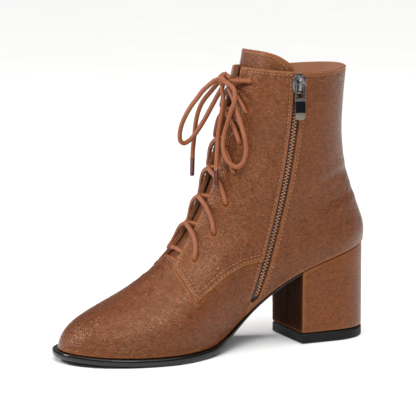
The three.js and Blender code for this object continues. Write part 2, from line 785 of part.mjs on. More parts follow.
// The slider's own frame lies on the form; its body stands on the quarters with a keel down in the slot
const sliderFace = overlay + fit + sliderThickness;
const pivotHeight = sliderFace + bridgeHeight / 2;
const sliderFrame = zipFrame(collarHeight * sliderAt, 0);

function zipSlider() {
  const half = sliderWidth / 2;
  const end = sliderLength / 2;
  const outline = [[-half, -end * 0.6], [-half * 0.7, -end], [half * 0.7, -end], [half, -end * 0.6],
    [half, end * 0.2], [half * 0.6, end], [-half * 0.6, end], [-half, end * 0.2]];
  const shape = new THREE.Shape(outline.map(([x, y]) => new THREE.Vector2(x, y)));
  const body = new THREE.ExtrudeGeometry(shape, { depth: sliderThickness, bevelEnabled: false });
  body.translate(0, 0, overlay + fit);
  const keelBottom = chainFace + fit;
  const keelHeight = overlay + fit - keelBottom + sliderThickness / 2;
  const keel = new THREE.BoxGeometry(chainWidth * 0.8, sliderLength * 0.8, keelHeight);
  keel.translate(0, 0, keelBottom + keelHeight / 2);
  return geometryOfSolid(solidOf(body).add(solidOf(keel)).add(bridge()));
}

// The arch that the pull tab hangs from, along the slider
function bridge() {
  const end = bridgeLength / 2;
  const under = sliderFace + bridgeHeight;
  const over = under + bridgeThickness;
  const foot = sliderFace - sliderThickness / 2;
  const inner = end - bridgeThickness * 1.4;
  const shape = new THREE.Shape([
    [-end, foot], [-end, under - 0.6], [-inner, over], [inner, over], [end, under - 0.6], [end, foot],
    [inner, foot], [inner, under - 0.4], [inner - 0.7, under], [0.7 - inner, under], [-inner, under - 0.4],
    [-inner, foot],
  ].map(([y, z]) => new THREE.Vector2(y, z)));
  const arch = new THREE.ExtrudeGeometry(shape, { depth: bridgeWidth, bevelEnabled: false });
  const turned = new THREE.Matrix4().makeBasis(
    new THREE.Vector3(0, 1, 0),
    new THREE.Vector3(0, 0, 1),
    new THREE.Vector3(1, 0, 0),
  );
  arch.applyMatrix4(turned.setPosition(-bridgeWidth / 2, 0, 0));
  return solidOf(arch);
}

// The pull tab, hanging from its bar, which is the origin: y runs down the tab
function zipPull() {
  const half = pullWidth / 2;
  const end = pullLength - pullBar / 2;
  const corner = pullWidth * 0.22;
  const shape = new THREE.Shape();
  shape.moveTo(-half, corner - pullBar / 2);
  shape.lineTo(-half + corner / 2, -pullBar / 2);
  shape.lineTo(half - corner / 2, -pullBar / 2);
  shape.lineTo(half, corner - pullBar / 2);
  shape.lineTo(half, end - corner);
  shape.lineTo(half - corner, end);
  shape.lineTo(corner - half, end);
  shape.lineTo(-half, end - corner);
  const window = new THREE.Path();
  const side = pullWindowWidth / 2;
  window.moveTo(-side, pullBar / 2);
  window.lineTo(-side, pullBar / 2 + pullWindowLength);
  window.lineTo(side, pullBar / 2 + pullWindowLength);
  window.lineTo(side, pullBar / 2);
  shape.holes.push(window);
  const geometry = new THREE.ExtrudeGeometry(shape, { depth: pullThickness, bevelEnabled: false });
  return geometry.translate(0, 0, -pullThickness / 2);
}

const pullFrame = sliderFrame.clone()
  .multiply(new THREE.Matrix4().makeTranslation(0, 0, pivotHeight))
  .multiply(new THREE.Matrix4().makeRotationZ(THREE.MathUtils.degToRad(pullSway)))
  .multiply(new THREE.Matrix4().makeRotationX(THREE.MathUtils.degToRad(pullLean)));

// Lace strands lie on the facings and sink between them, where they stop short of the facing they pass under
const laceOut = overlay + fit * 1.5 + laceDiameter / 2;
const laceSunk = -0.3;
const laceStop = laceDiameter * 0.83;
const lastClimb = 0.78;

// One strand leaves its hole, climbs its own facing steeply, and crosses the gap to sink beside the far
// facing at the next row's height. Edge is where a facing's edge lies.
function strand(index, side) {
  const from = holeAcross(index);
  const edge = throatHalf(holeRises[index + 1]) - liningShow;
  const stop = laceStop - edge;
  const route = [
    { climb: 0.01, across: from, out: laceOut },
    { climb: 0.24, across: from * 0.8 + edge * 0.2, out: laceOut },
    { climb: 0.48, across: (from + edge) / 2, out: laceOut },
    { climb: 0.68, across: edge + laceDiameter / 2, out: laceOut },
    { climb: 0.82, across: edge * 0.6, out: laceOut + (side > 0 ? laceDiameter * 0.3 : -fit) },
    { climb: 0.93, across: 0, out: laceOut * 0.7 + (side > 0 ? laceDiameter * 0.35 : -laceDiameter * 0.1) },
    { climb: 1.0, across: stop, out: laceSunk },
  ];
  const points = route.map(({ climb, across, out }) => {
    const room = index === holePairs - 2 ? lastClimb : 1;
    const rise = holeRises[index] + (holeRises[index + 1] - holeRises[index]) * climb * room;
    return acrossPoint(rise, side * across, out);
  });
  return solidOf(rod(points, laceDiameter, 6, 12));
}

const laceCross = (index) => geometryOfSolid(strand(index, 1).add(strand(index, -1)));

// The bottom bar runs under both facings and shows only between them
function laceBottomBar() {
  const half = throatHalf(holeRises[0]) - liningShow - laceStop;
  const points = [-1, -0.5, 0, 0.5, 1].map((share) => acrossPoint(holeRises[0], share * half, laceSunk));
  return rod(points, laceDiameter, 6, 4);
}

// The knot, and the two top bars that reach it from the top holes
const knotRise = 0.9655;
const knotOut = 7;
const knotCentre = acrossPoint(knotRise, 0, knotOut);

function laceTopBar(side) {
  const top = holePairs - 1;
  const from = holeAcross(top);
  const to = knotLength / 2 + fit;
  const points = [];
  const steps = 6;
  for (let k = 0; k <= steps; k += 1) {
    const share = k / steps;
    const rise = holeRises[top] + (knotRise - holeRises[top]) * smooth(share);
    const out = laceOut + (knotOut * 0.7 - laceOut) * share ** 2;
    points.push(acrossPoint(rise, side * (from + (to - from) * share), out));
  }
  return rod(points, laceDiameter, 6, steps);
}

function laceKnot() {
  const knot = new THREE.SphereGeometry(0.5, 12, 8);
  return knot.scale(knotDepth, knotLength, knotHeight);
}

// The free lace in millimetres: from the knot round each loop and back, and down each end
const loopLateral = [
  [78.7, -2.7, 182.3], [81.6, -4.3, 181.2], [84.8, -6, 178.4], [88.6, -8, 174.4], [92, -10, 169.3],
  [95.8, -12, 163.5], [99, -14, 157], [101.2, -15.7, 150.4], [101.9, -17, 144], [101, -17.8, 139.6],
  [98.6, -18, 137.9], [95, -17.8, 139.4], [91.5, -17, 142.8], [87.7, -15.3, 148.8], [84.3, -13, 155.6],
  [81.2, -10.4, 163], [78.4, -7.4, 170.2], [76.6, -4.7, 175.2], [75.8, -3.1, 177.8],
];
const loopMedial = [
  [78.9, 4.8, 181.2], [77.6, 8.8, 180], [75.6, 13.2, 176.9], [76.4, 16.9, 170.2], [78.6, 15.6, 162.4],
  [80, 12.8, 153.8], [82.2, 12, 145.4], [83.7, 13.9, 137.8], [83.5, 17.6, 131.6], [81.3, 21.6, 127.2],
  [78.2, 24.9, 125.8], [75, 26.9, 128.8], [72.9, 27.1, 135.8], [72.9, 25.3, 144.4], [74, 21.4, 153.8],
  [74.9, 17.6, 160.8], [75.2, 11.6, 169.8], [75.5, 6.4, 175], [75.6, 3.4, 177.6],
];
const endLateral = [
  [75.6, -5.5, 180.8], [77.3, -7.5, 179.4], [79, -9.6, 176.7], [81.8, -12.6, 172], [84.2, -15, 168],
  [86, -17.2, 163.8], [87.1, -19.2, 159], [87.7, -21, 154], [88, -22.4, 148.4], [88.1, -23.5, 142.6],
  [88.4, -24.1, 138], [88.7, -24.5, 133.6], [88.9, -24.9, 127.4], [89, -25.2, 120.8], [89.1, -25.5, 114.2],
];
const endMedial = [
  [78.1, 0.2, 178.1], [78.9, 1.4, 175.2], [78.9, 2.8, 172], [79, 3.8, 168.2], [79.8, 4.3, 163.4],
  [80.9, 4.7, 158.4], [82.3, 5.6, 153], [83.8, 6.7, 147.6], [85, 8.1, 142.6], [85.9, 9.7, 138],
  [87, 11.2, 132.6], [88, 12.7, 127.2], [88.9, 14.3, 121.8], [89.7, 15.9, 116.6], [90.1, 17.4, 111.8],
];
const toVectors = (places) => places.map((place) => new THREE.Vector3(...place));

addPart("upper", upper(), brownLeather);
addPart("outsole", outsole(), blackRubber);
addPart("insole", insole(), sockLining);
addPart("heel_block", heelBlock(), brownLeather);
addPart("top_lift", topLift(), blackRubber);
addPart("tongue", tongue(), brownLeather);

addPart("zip_tape", zipTape(), darkTape);
addPart("zip_slider", zipSlider(), gunmetal, sliderFrame);
addPart("zip_pull", zipPull(), gunmetal, pullFrame);

for (let k = 0; k < holePairs - 1; k += 1) addPart(`lace_cross_${k + 1}`, laceCross(k), lace);
addPart("lace_bar_bottom", laceBottomBar(), lace);
addPart("lace_bar_medial", laceTopBar(1), lace);
addPart("lace_bar_lateral", laceTopBar(-1), lace);
addPart("lace_knot", laceKnot(), lace, new THREE.Matrix4().setPosition(knotCentre));
addPart("lace_loop_lateral", rod(toVectors(loopLateral), laceDiameter, 8, 20), lace);
addPart("lace_loop_medial", rod(toVectors(loopMedial), laceDiameter, 8, 24), lace);
addPart("lace_end_lateral", rod(toVectors(endLateral), laceDiameter, 8, 14), lace);
addPart("lace_end_medial", rod(toVectors(endMedial), laceDiameter, 8, 14), lace);

export default boot;
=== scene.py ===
import math

import bmesh
import bpy
import numpy as np
from mathutils import Matrix, Vector
from mathutils.bvhtree import BVHTree
from mathutils.kdtree import KDTree


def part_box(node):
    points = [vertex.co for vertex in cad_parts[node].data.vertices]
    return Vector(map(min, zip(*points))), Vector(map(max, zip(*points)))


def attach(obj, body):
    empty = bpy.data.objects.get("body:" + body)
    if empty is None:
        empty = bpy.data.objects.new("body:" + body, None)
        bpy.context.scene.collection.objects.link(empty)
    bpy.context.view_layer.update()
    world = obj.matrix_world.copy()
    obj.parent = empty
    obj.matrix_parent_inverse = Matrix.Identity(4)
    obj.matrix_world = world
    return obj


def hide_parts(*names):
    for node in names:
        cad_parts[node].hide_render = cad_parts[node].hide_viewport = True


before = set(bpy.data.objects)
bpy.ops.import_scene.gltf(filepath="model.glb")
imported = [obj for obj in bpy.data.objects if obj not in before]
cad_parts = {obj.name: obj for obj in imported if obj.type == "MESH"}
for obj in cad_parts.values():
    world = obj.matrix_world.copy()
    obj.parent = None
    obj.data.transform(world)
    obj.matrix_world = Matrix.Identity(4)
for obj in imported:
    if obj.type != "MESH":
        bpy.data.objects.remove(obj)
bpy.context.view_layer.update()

# Camera
# A long lens 0.3 m above the floor and 1.3 m away, on the medial side and turned towards the toe, as such a
# shoe is photographed for sale.
camera_place = Vector((0.6225, 1.1872, 0.2976))
middle_of_boot = Vector((0.0951, 0.0147, 0.0977))
camera_data = bpy.data.cameras.new("camera")
camera_data.lens = 168
camera_data.sensor_width = 36
camera = bpy.data.objects.new("camera", camera_data)
camera.location = camera_place
camera.rotation_euler = (middle_of_boot - camera_place).to_track_quat("-Z", "Y").to_euler()
bpy.context.scene.collection.objects.link(camera)
bpy.context.scene.camera = camera


# Lace
# A round braided lace of waxed cotton, 3.2 mm thick. It runs from the knot through the top holes, down
# through seven pairs of punched holes in crossings, and under both facings at the bottom.
lace_thickness = 0.0032
strands_around = 4
strand_pitch = 0.0022


def linear(hex_colour):
    """An sRGB hex colour as linear light, opaque"""
    parts = [int(hex_colour[k : k + 2], 16) / 255 for k in (1, 3, 5)]
    return (*[c / 12.92 if c <= 0.04045 else ((c + 0.055) / 1.055) ** 2.4 for c in parts], 1)


def add_node(material, kind, inputs=None, **settings):
    """Adds a node to a material: its settings, and its inputs with a value or a link each"""
    node = material.node_tree.nodes.new(kind)
    for name, value in settings.items():
        setattr(node, name, value)
    for name, value in (inputs or {}).items():
        if isinstance(value, bpy.types.NodeSocket):
            material.node_tree.links.new(value, node.inputs[name])
        else:
            node.inputs[name].default_value = value
    return node


def new_material(name, roughness, **values):
    """A material with its shader, and the shader's own sockets set"""
    material = bpy.data.materials.new(name)
    material.use_nodes = True
    shader = material.node_tree.nodes["Principled BSDF"]
    shader.inputs["Roughness"].default_value = roughness
    for socket, value in values.items():
        shader.inputs[socket.replace("_", " ")].default_value = value
    return material, shader


def give(material, shader, socket, value):
    """Links a node's output to a socket of the shader"""
    material.node_tree.links.new(value, shader.inputs[socket])


def braided_cotton():
    """Waxed cotton braid: two sets of strands cross at a slant, each about 0.9 mm wide, with a soft sheen"""
    material, shader = new_material("braided_cotton", 0.5, Specular_IOR_Level=0.4)
    unwrapped = add_node(material, "ShaderNodeUVMap", uv_map="UVMap")
    split = add_node(material, "ShaderNodeSeparateXYZ", {0: unwrapped.outputs["UV"]})
    turned = {0: split.outputs["X"], 1: math.tau * strands_around}
    around = add_node(material, "ShaderNodeMath", turned, operation="MULTIPLY")
    run = {0: split.outputs["Y"], 1: math.tau / strand_pitch}
    along = add_node(material, "ShaderNodeMath", run, operation="MULTIPLY")
    both = {0: around.outputs[0], 1: along.outputs[0]}
    strands = []
    for way in ("ADD", "SUBTRACT"):
        slant = add_node(material, "ShaderNodeMath", both, operation=way)
        wave = add_node(material, "ShaderNodeMath", {0: slant.outputs[0]}, operation="SINE")
        strands.append(wave.outputs[0])
    weave = add_node(material, "ShaderNodeMath", {0: strands[0], 1: strands[1]}, operation="MULTIPLY")
    raised = {0: weave.outputs[0], 1: 0.5, 2: 0.5}
    height = add_node(material, "ShaderNodeMath", raised, operation="MULTIPLY_ADD")
    place = add_node(material, "ShaderNodeTexCoord").outputs["Object"]
    patch_mm = 16.67
    patch = add_node(material, "ShaderNodeTexNoise", {"Vector": place, "Scale": 1000 / patch_mm, "Detail": 2})
    tones = {0: patch.outputs["Fac"], 6: linear("#8a4a28"), 7: linear("#b06a3f")}
    tone = add_node(material, "ShaderNodeMix", tones, data_type="RGBA")
    shades = {0: height.outputs[0], 6: linear("#5a2a12"), 7: tone.outputs[2]}
    shade = add_node(material, "ShaderNodeMix", shades, data_type="RGBA")
    relief = {"Strength": 0.5, "Distance": 0.0004, "Height": height.outputs[0]}
    bump = add_node(material, "ShaderNodeBump", relief)
    give(material, shader, "Base Color", shade.outputs[2])
    give(material, shader, "Normal", bump.outputs["Normal"])
    return material


def measured(line):
    """How far along a line each of its points is"""
    gone = [0.0]
    for a, b in zip(line, line[1:]):
        gone.append(gone[-1] + (b - a).length)
    return gone


def place_along(line, gone, distance):
    """The place on a measured line at a distance from its start"""
    return Vector([np.interp(distance, gone, [point[axis] for point in line]) for axis in range(3)])


def smooth_route(points, step=0.001):
    """Points in millimetres, joined by a smooth curve and spaced evenly, in metres"""
    given = [Vector(point) / 1000 for point in points]
    given = [2 * given[0] - given[1], *given, 2 * given[-1] - given[-2]]
    parts = 14
    dense = []
    for p0, p1, p2, p3 in zip(given, given[1:], given[2:], given[3:]):
        t1 = (p1 - p0).length ** 0.5
        t2 = t1 + (p2 - p1).length ** 0.5
        t3 = t2 + (p3 - p2).length ** 0.5
        for k in range(parts):
            t = t1 + (t2 - t1) * k / parts
            a1 = p0 * (t1 - t) / t1 + p1 * t / t1
            a2 = p1 * (t2 - t) / (t2 - t1) + p2 * (t - t1) / (t2 - t1)
            a3 = p2 * (t3 - t) / (t3 - t2) + p3 * (t - t2) / (t3 - t2)
            b1 = a1 * (t2 - t) / t2 + a2 * t / t2
            b2 = a2 * (t3 - t) / (t3 - t1) + a3 * (t - t1) / (t3 - t1)
            dense.append(b1 * (t2 - t) / (t2 - t1) + b2 * (t - t1) / (t2 - t1))
    dense.append(given[-2])
    gone = measured(dense)
    count = max(4, round(gone[-1] / step))
    return [place_along(dense, gone, gone[-1] * k / count) for k in range(count + 1)]


def finished_object(name, mesh, body, slot, *materials):
    """An object for a finished mesh, riding on a body, with the materials given; its slot is not used"""
    thing = bpy.data.objects.new(name, mesh)
    bpy.context.scene.collection.objects.link(thing)
    for material in materials:
        mesh.materials.append(material)
    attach(thing, body)
    return thing


def mesh_from(bm, name, smooth=True):
    """The finished mesh of a bmesh, shaded smooth or flat"""
    for face in bm.faces:
        face.smooth = smooth
    mesh = bpy.data.meshes.new(name)
    bm.to_mesh(mesh)
    bm.free()
    return mesh


def round_cord(name, route, diameter, sides=12):
    """A cord's mesh: a circle carried along its route, with rounded ends, unwrapped along its length"""
    end_share = 0.72
    bm = bmesh.new()
    uv = bm.loops.layers.uv.new("UVMap")
    before = (route[1] - route[0]).normalized()
    out = before.orthogonal().normalized()
    rings = []
    gone = 0.0
    last = len(route) - 1
    for k, point in enumerate(route):
        along = (route[min(k + 1, last)] - route[max(k - 1, 0)]).normalized()
        out = (before.rotation_difference(along) @ out).normalized()
        out = (out - along * out.dot(along)).normalized()
        before = along
        side = along.cross(out)
        gone += (point - route[k - 1]).length if k else 0.0
        radius = diameter / 2 * (end_share if k in (0, last) else 1)
        turn = [math.tau * n / sides for n in range(sides)]
        ring = [bm.verts.new(point + (out * math.cos(a) + side * math.sin(a)) * radius) for a in turn]
        rings.append((ring, gone))
    for (ring, start), (following, end) in zip(rings, rings[1:]):
        for n in range(sides):
            m = (n + 1) % sides
            face = bm.faces.new((ring[n], ring[m], following[m], following[n]))
            corners = ((n, start), (n + 1, start), (n + 1, end), (n, end))
            for loop, (u, v) in zip(face.loops, corners):
                loop[uv].uv = (u / sides, v)
    bm.faces.new(list(reversed(rings[0][0])))
    bm.faces.new(rings[-1][0])
    return mesh_from(bm, name)


cotton = braided_cotton()
medial_rows = [
    [(108.7, 22.9, 66.2), (106.7, 20.4, 71.1), (105.6, 16.5, 76.6), (105.6, 11.7, 81.4), (106.4, 6.6, 85.2),
     (105.1, 1, 86.9), (100.9, -4.4, 86)],
    [(94.3, 22.2, 82.4), (94.2, 19.7, 88), (94.8, 15.9, 94.1), (95.5, 11.2, 99), (96.7, 6.2, 102.7),
     (95.7, 0.6, 104.6), (91.4, -4.6, 104.2)],
    [(85.3, 21.3, 101.7), (85.8, 18.9, 107.3), (86.8, 15.2, 113), (87.8, 10.7, 117.8), (89.3, 5.8, 121.3),
     (88.4, 0.4, 123.3), (84.2, -4.7, 123.4)],
    [(79.2, 20.4, 121.8), (80, 17.9, 127.2), (81, 14.2, 132.8), (81.7, 9.6, 137.4), (82.8, 5, 140.8),
     (81.8, 0.3, 142.7), (77.8, -4, 142.8)],
    [(74.3, 19.5, 141.7), (75, 16.9, 146.7), (75.7, 12.9, 152), (76.3, 7.9, 156.5), (77, 3.9, 159.8),
     (75.9, 0.1, 161.9), (72.1, -2.9, 162.4)],
    [(69.8, 18.6, 161.9), (70.6, 15.9, 165.8), (71.5, 11.8, 169.9), (72.2, 6.7, 173.4), (73, 3.2, 175.9),
     (72, 0.1, 177.5), (68.4, -2, 177.8)],
]
lateral_rows = [
    [(108.9, -20.5, 66.2), (106.8, -18.2, 71.1), (105.7, -14.4, 76.5), (105.7, -9.6, 81.3), 
     (105.4, -4.3, 84.5), (104, 1, 86.2), (100.9, 6.2, 86)],
    [(94.5, -20.8, 82.3), (94.3, -18.4, 88), (94.8, -14.6, 94.1), (95.5, -9.9, 99), (95.6, -4.6, 102.2),
     (94.5, 0.6, 104), (91.4, 5.8, 104.2)],
    [(85.4, -20.5, 101.7), (85.9, -18, 107.3), (86.9, -14.4, 113), (87.8, -9.9, 117.8), (88.2, -4.7, 120.9),
     (87.1, 0.4, 122.9), (84.2, 5.5, 123.4)],
    [(79.2, -19.9, 121.8), (80, -17.4, 127.2), (81, -13.6, 132.8), (81.7, -9, 137.4), (81.7, -4.3, 140.4),
     (80.6, 0.3, 142.3), (77.8, 4.5, 142.8)],
    [(74.3, -19.2, 141.7), (75, -16.6, 146.7), (75.7, -12.6, 152), (76.3, -7.6, 156.5), (75.9, -3.5, 159.4),
     (74.6, 0.1, 161.5), (72.1, 3.1, 162.4)],
    [(69.8, -18.5, 161.9), (70.6, -15.8, 165.8), (71.5, -11.7, 169.9), (72.2, -6.6, 173.4), 
     (71.9, -2.9, 175.6), (70.7, 0.1, 177.2), (68.4, 2.2, 177.8)],
]
# Each hole's place on the leather, and the points behind the facing that lead to it
medial_holes = [(108, 21.6, 65), (93.5, 20.6, 81.5), (84.3, 19.8, 101), (77.9, 19, 121.2), 
                (72.9, 18.3, 141.1), (68.3, 17.5, 161.4), (64.5, 16.8, 181.7)]
lateral_holes = [(x, -y * 0.975, z) for x, y, z in medial_holes]
medial_behind = [
    [(110, 11.1, 66.4), (108.3, 14.3, 64.8), (106, 18.8, 62.6)],
    [(97.6, 9, 83.9), (95.3, 12.5, 82.5), (91.4, 17.3, 80)],
    [(87.9, 8.6, 102.6), (85.6, 11.9, 101.6), (81.8, 16.5, 100)],
    [(80.6, 8.3, 122.2), (78.5, 11.5, 121.5), (75.2, 16, 120.4)],
    [(74.4, 7.6, 141.7), (72.6, 11, 141.1), (69.8, 15.5, 140.3)],
    [(68.9, 6.4, 161.6), (67.2, 10.3, 161.2), (64.9, 15.2, 160.6)],
    [(64.3, 5.6, 181.6), (62.8, 9.7, 181.3), (60.9, 14.8, 180.9)],
]
lateral_behind = [[(x, -y * 0.965, z) for x, y, z in row] for row in medial_behind]
top_bars = {
    "medial": [(66.1, 17.8, 182), (67.2, 15.8, 182.1), (68.3, 13.9, 182), (69.4, 12, 181.7), 
               (70.4, 10.1, 181.5), (71.5, 8.1, 181.3), (72.9, 5, 181.5), (74.6, 2.4, 181.8)],
    "lateral": [(66.1, -17.7, 182), (67.2, -15.7, 182.1), (68.3, -13.8, 182), (69.4, -11.9, 181.7),
                (70.4, -9.9, 181.5), (71.5, -8, 181.3), (72.9, -5, 181.5), (74.6, -2.4, 181.8)],
}


def laced_run(side):
    """One half of the laced part: from the middle of the bottom bar, from side to side, up to the knot"""
    rows = {"medial": medial_rows, "lateral": lateral_rows}
    holes = {"medial": medial_holes, "lateral": lateral_holes}
    behind = {"medial": medial_behind, "lateral": lateral_behind}
    other = {"medial": "lateral", "lateral": "medial"}
    bar_middle = (113.5, 1.4, 69.8)
    bar_side = (113.4, 4.9 if side == "medial" else -2.0, 69.6)
    run = [bar_middle, bar_side]
    for row in range(len(medial_holes)):
        run += [*behind[side][row], holes[side][row]]
        if row < len(medial_rows):
            run += rows[side][row]
            side = other[side]
    return run + top_bars[side]


for side in ("medial", "lateral"):
    name = "laced_run_" + side
    route = smooth_route(laced_run(side), 0.0011)
    laced = finished_object(name, round_cord(name, route, lace_thickness), "boot", "lace", cotton)
    if side == "medial":
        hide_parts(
            "lace_cross_1", "lace_cross_2", "lace_cross_3", "lace_cross_4", "lace_cross_5",
            "lace_cross_6", "lace_bar_bottom", "lace_bar_medial", "lace_bar_lateral",
        )


# Aglets
# Short sheaths of clear reddish-brown film, rolled and pressed round each end of the lace so that it threads
# easily. They are stiff and glossy.
aglet_length = 0.013
aglet_diameter = 0.0033


def mottled(name, roughness, tones, patches, specks=None, relief=None, wander=None, **values):
    """A material that drifts between two tones in patches, with a fine relief of specks. Patches and specks
    are a size in millimetres with a detail, relief is a strength with a depth in metres, and wander is how
    far the roughness goes down and up with the patches"""
    material, shader = new_material(name, roughness, **values)
    place = add_node(material, "ShaderNodeTexCoord").outputs["Object"]
    wide = {"Vector": place, "Scale": 1000 / patches[0], "Detail": patches[1]}
    patch = add_node(material, "ShaderNodeTexNoise", wide)
    mixed = {0: patch.outputs["Fac"], 6: linear(tones[0]), 7: linear(tones[1])}
    tone = add_node(material, "ShaderNodeMix", mixed, data_type="RGBA")
    give(material, shader, "Base Color", tone.outputs[2])
    if specks:
        fine = {"Vector": place, "Scale": 1000 / specks[0], "Detail": specks[1]}
        speck = add_node(material, "ShaderNodeTexNoise", fine)
        raised = {"Strength": relief[0], "Distance": relief[1], "Height": speck.outputs["Fac"]}
        bump = add_node(material, "ShaderNodeBump", raised)
        give(material, shader, "Normal", bump.outputs["Normal"])
    if wander:
        limits = {0: patch.outputs["Fac"], 3: roughness - wander[0], 4: roughness + wander[1]}
        rough = add_node(material, "ShaderNodeMapRange", limits)
        give(material, shader, "Roughness", rough.outputs[0])
    return material


# Acetate film rolled round the lace: smooth, glossy and tinted, its ripples drawn coarse enough to show
film = mottled(
    "rolled_acetate_film", 0.24, ("#35130a", "#5e2816"), (1.111, 2), (1.111, 2), (0.3, 0.0002),
    Coat_Weight=0.4, Coat_Roughness=0.15,
)


def aglet(name, route):
    """The sheath on the last stretch of a lace end, which it closes"""
    overlap = 0.0001
    count = round(aglet_length / (route[-1] - route[-2]).length)
    sheath = route[-count - 1 :]
    sheath[-1] = sheath[-1] + (sheath[-1] - sheath[-2]).normalized() * overlap
    return finished_object(name, round_cord(name, sheath, aglet_diameter, 14), "boot", "lace", film)


# Bow
# The free lace: the knot in front of the top holes, two loops that hang from it and come back to it, and
# two ends with their aglets.
bow = {
    "loop_lateral": [
        (78.7, -2.7, 182.3), (81.6, -4.3, 181.2), (84.8, -6, 178.4), (88.6, -8, 174.4), (92, -10, 169.3),
        (95.8, -12, 163.5), (99, -14, 157), (101.2, -15.7, 150.4), (101.9, -17, 144), (101, -17.8, 139.6),
        (98.6, -18, 137.9), (95, -17.8, 139.4), (91.5, -17, 142.8), (87.7, -15.3, 148.8), (84.3, -13, 155.6),
        (81.2, -10.4, 163), (78.4, -7.4, 170.2), (76.6, -4.7, 175.2), (75.8, -3.1, 177.8),
    ],
    "loop_medial": [
        (78.9, 4.8, 181.2), (77.6, 8.8, 180), (75.6, 13.2, 176.9), (76.4, 16.9, 170.2), (78.6, 15.6, 162.4),
        (80, 12.8, 153.8), (82.2, 12, 145.4), (83.7, 13.9, 137.8), (83.5, 17.6, 131.6), (81.3, 21.6, 127.2),
        (78.2, 24.9, 125.8), (75, 26.9, 128.8), (72.9, 27.1, 135.8), (72.9, 25.3, 144.4), (74, 21.4, 153.8),
        (74.9, 17.6, 160.8), (75.2, 11.6, 169.8), (75.5, 6.4, 175), (75.6, 3.4, 177.6),
    ],
    "end_lateral": [
        (75.6, -5.5, 180.8), (77.3, -7.5, 179.4), (79, -9.6, 176.7), (81.8, -12.6, 172), (84.2, -15, 168),
        (86, -17.2, 163.8), (87.1, -19.2, 159), (87.7, -21, 154), (88, -22.4, 148.4), (88.1, -23.5, 142.6),
        (88.4, -24.1, 138), (88.7, -24.5, 133.6), (88.9, -24.9, 127.4), (89, -25.2, 120.8),
        (89.1, -25.5, 114.2),
    ],
    "end_medial": [
        (78.1, 0.2, 178.1), (78.9, 1.4, 175.2), (78.9, 2.8, 172), (79, 3.8, 168.2), (79.8, 4.3, 163.4),
        (80.9, 4.7, 158.4), (82.3, 5.6, 153), (83.8, 6.7, 147.6), (85, 8.1, 142.6), (85.9, 9.7, 138),
        (87, 11.2, 132.6), (88, 12.7, 127.2), (88.9, 14.3, 121.8), (89.7, 15.9, 116.6), (90.1, 17.4, 111.8),
    ],
}
for name, points in bow.items():
    route = smooth_route(points)
    cord_mesh = round_cord("bow_" + name, route, lace_thickness)
    free = finished_object("bow_" + name, cord_mesh, "boot", "lace", cotton)
    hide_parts("lace_" + name)
    looped = name.startswith("loop")
    [] if looped else [aglet("aglet_" + name[4:], route)]

# The knot itself: two turns of the lace over a third, drawn tight and swollen a little
knot_thickness = lace_thickness * 1.2
knot_turns = {
    "knot_turn_front": [(75.2, -4.6, 180.2), (77.6, -3.4, 182.6), (78.6, -0.6, 183.6), (78.5, 2.4, 182.4),
                        (77.5, 4.4, 180.6), (75.2, 4.8, 180.1)],
    "knot_turn_over": [(74.0, -0.6, 185.3), (76.2, -0.9, 185.2), (78.4, -0.4, 184), (79.1, 0.2, 181.8),
                       (78.3, 0.6, 179.4), (76.4, 0.6, 178.4)],
    "knot_turn_back": [(73.4, -3.6, 182.6), (73.9, -1.5, 184), (74.2, 1.4, 184), (73.6, 3.8, 182.4)],
}
for name, points in knot_turns.items():
    route = smooth_route(points, 0.0007)
    turn = finished_object(name, round_cord(name, route, knot_thickness, 14), "boot", "lace", cotton)
    if name == "knot_turn_front":
        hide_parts("lace_knot")


# Upper
# Full-grain calf in mid brown, 1.8 mm with its lining, cut as vamp and two quarters and pulled over the last.
# The quarters lie over the vamp, and the leather is folded into creases where the foot bends, with painted
# shade along them.
def leather_patterns(material):
    """The patterns of the grain: cloud over 33 mm, mottle of 4 mm, pebbles of 1 to 2 mm, wrinkles of 2 mm
    drawn along the leather, and the long folds that bending leaves"""
    place = add_node(material, "ShaderNodeTexCoord").outputs["Object"]
    cloud, mottle, bend = [
        add_node(material, "ShaderNodeTexNoise", {"Vector": place, "Scale": 1000 / size, "Detail": detail})
        for size, detail in ((33.33, 3), (4.348, 4), (11.11, 1))
    ]
    stir = {0: bend.outputs["Color"], 1: (0.006, 0.006, 0.006)}
    stirred = add_node(material, "ShaderNodeVectorMath", stir, operation="MULTIPLY")
    waved = add_node(material, "ShaderNodeVectorMath", {0: place, 1: stirred.outputs[0]}, operation="ADD")
    drawn, stretched = [
        add_node(
            material, "ShaderNodeMapping",
            {"Vector": waved.outputs[0], "Scale": scale, "Rotation": (0, turn, 0)},
        )
        for scale, turn in (((0.8, 1.0, 1.9), 0.75), ((1.0, 0.12, 0.3), 0.35))
    ]
    pebble_mm = 1.923
    cells = {"Vector": drawn.outputs[0], "Scale": 1000 / pebble_mm}
    pebble = add_node(material, "ShaderNodeTexVoronoi", cells, feature="DISTANCE_TO_EDGE")
    tops = add_node(material, "ShaderNodeMapRange", {0: pebble.outputs["Distance"], 1: 0.0, 2: 0.16})
    wrinkle, folds = [
        add_node(
            material, "ShaderNodeTexNoise",
            {"Vector": warp.outputs[0], "Scale": 1000 / size, "Detail": detail, "Roughness": rough},
        )
        for warp, size, detail, rough in ((drawn, 2.083, 3, 0.6), (stretched, 2.381, 2, 0.5))
    ]
    noises = [noise.outputs["Fac"] for noise in (cloud, mottle, wrinkle, folds)]
    return (*noises, tops.outputs[0])


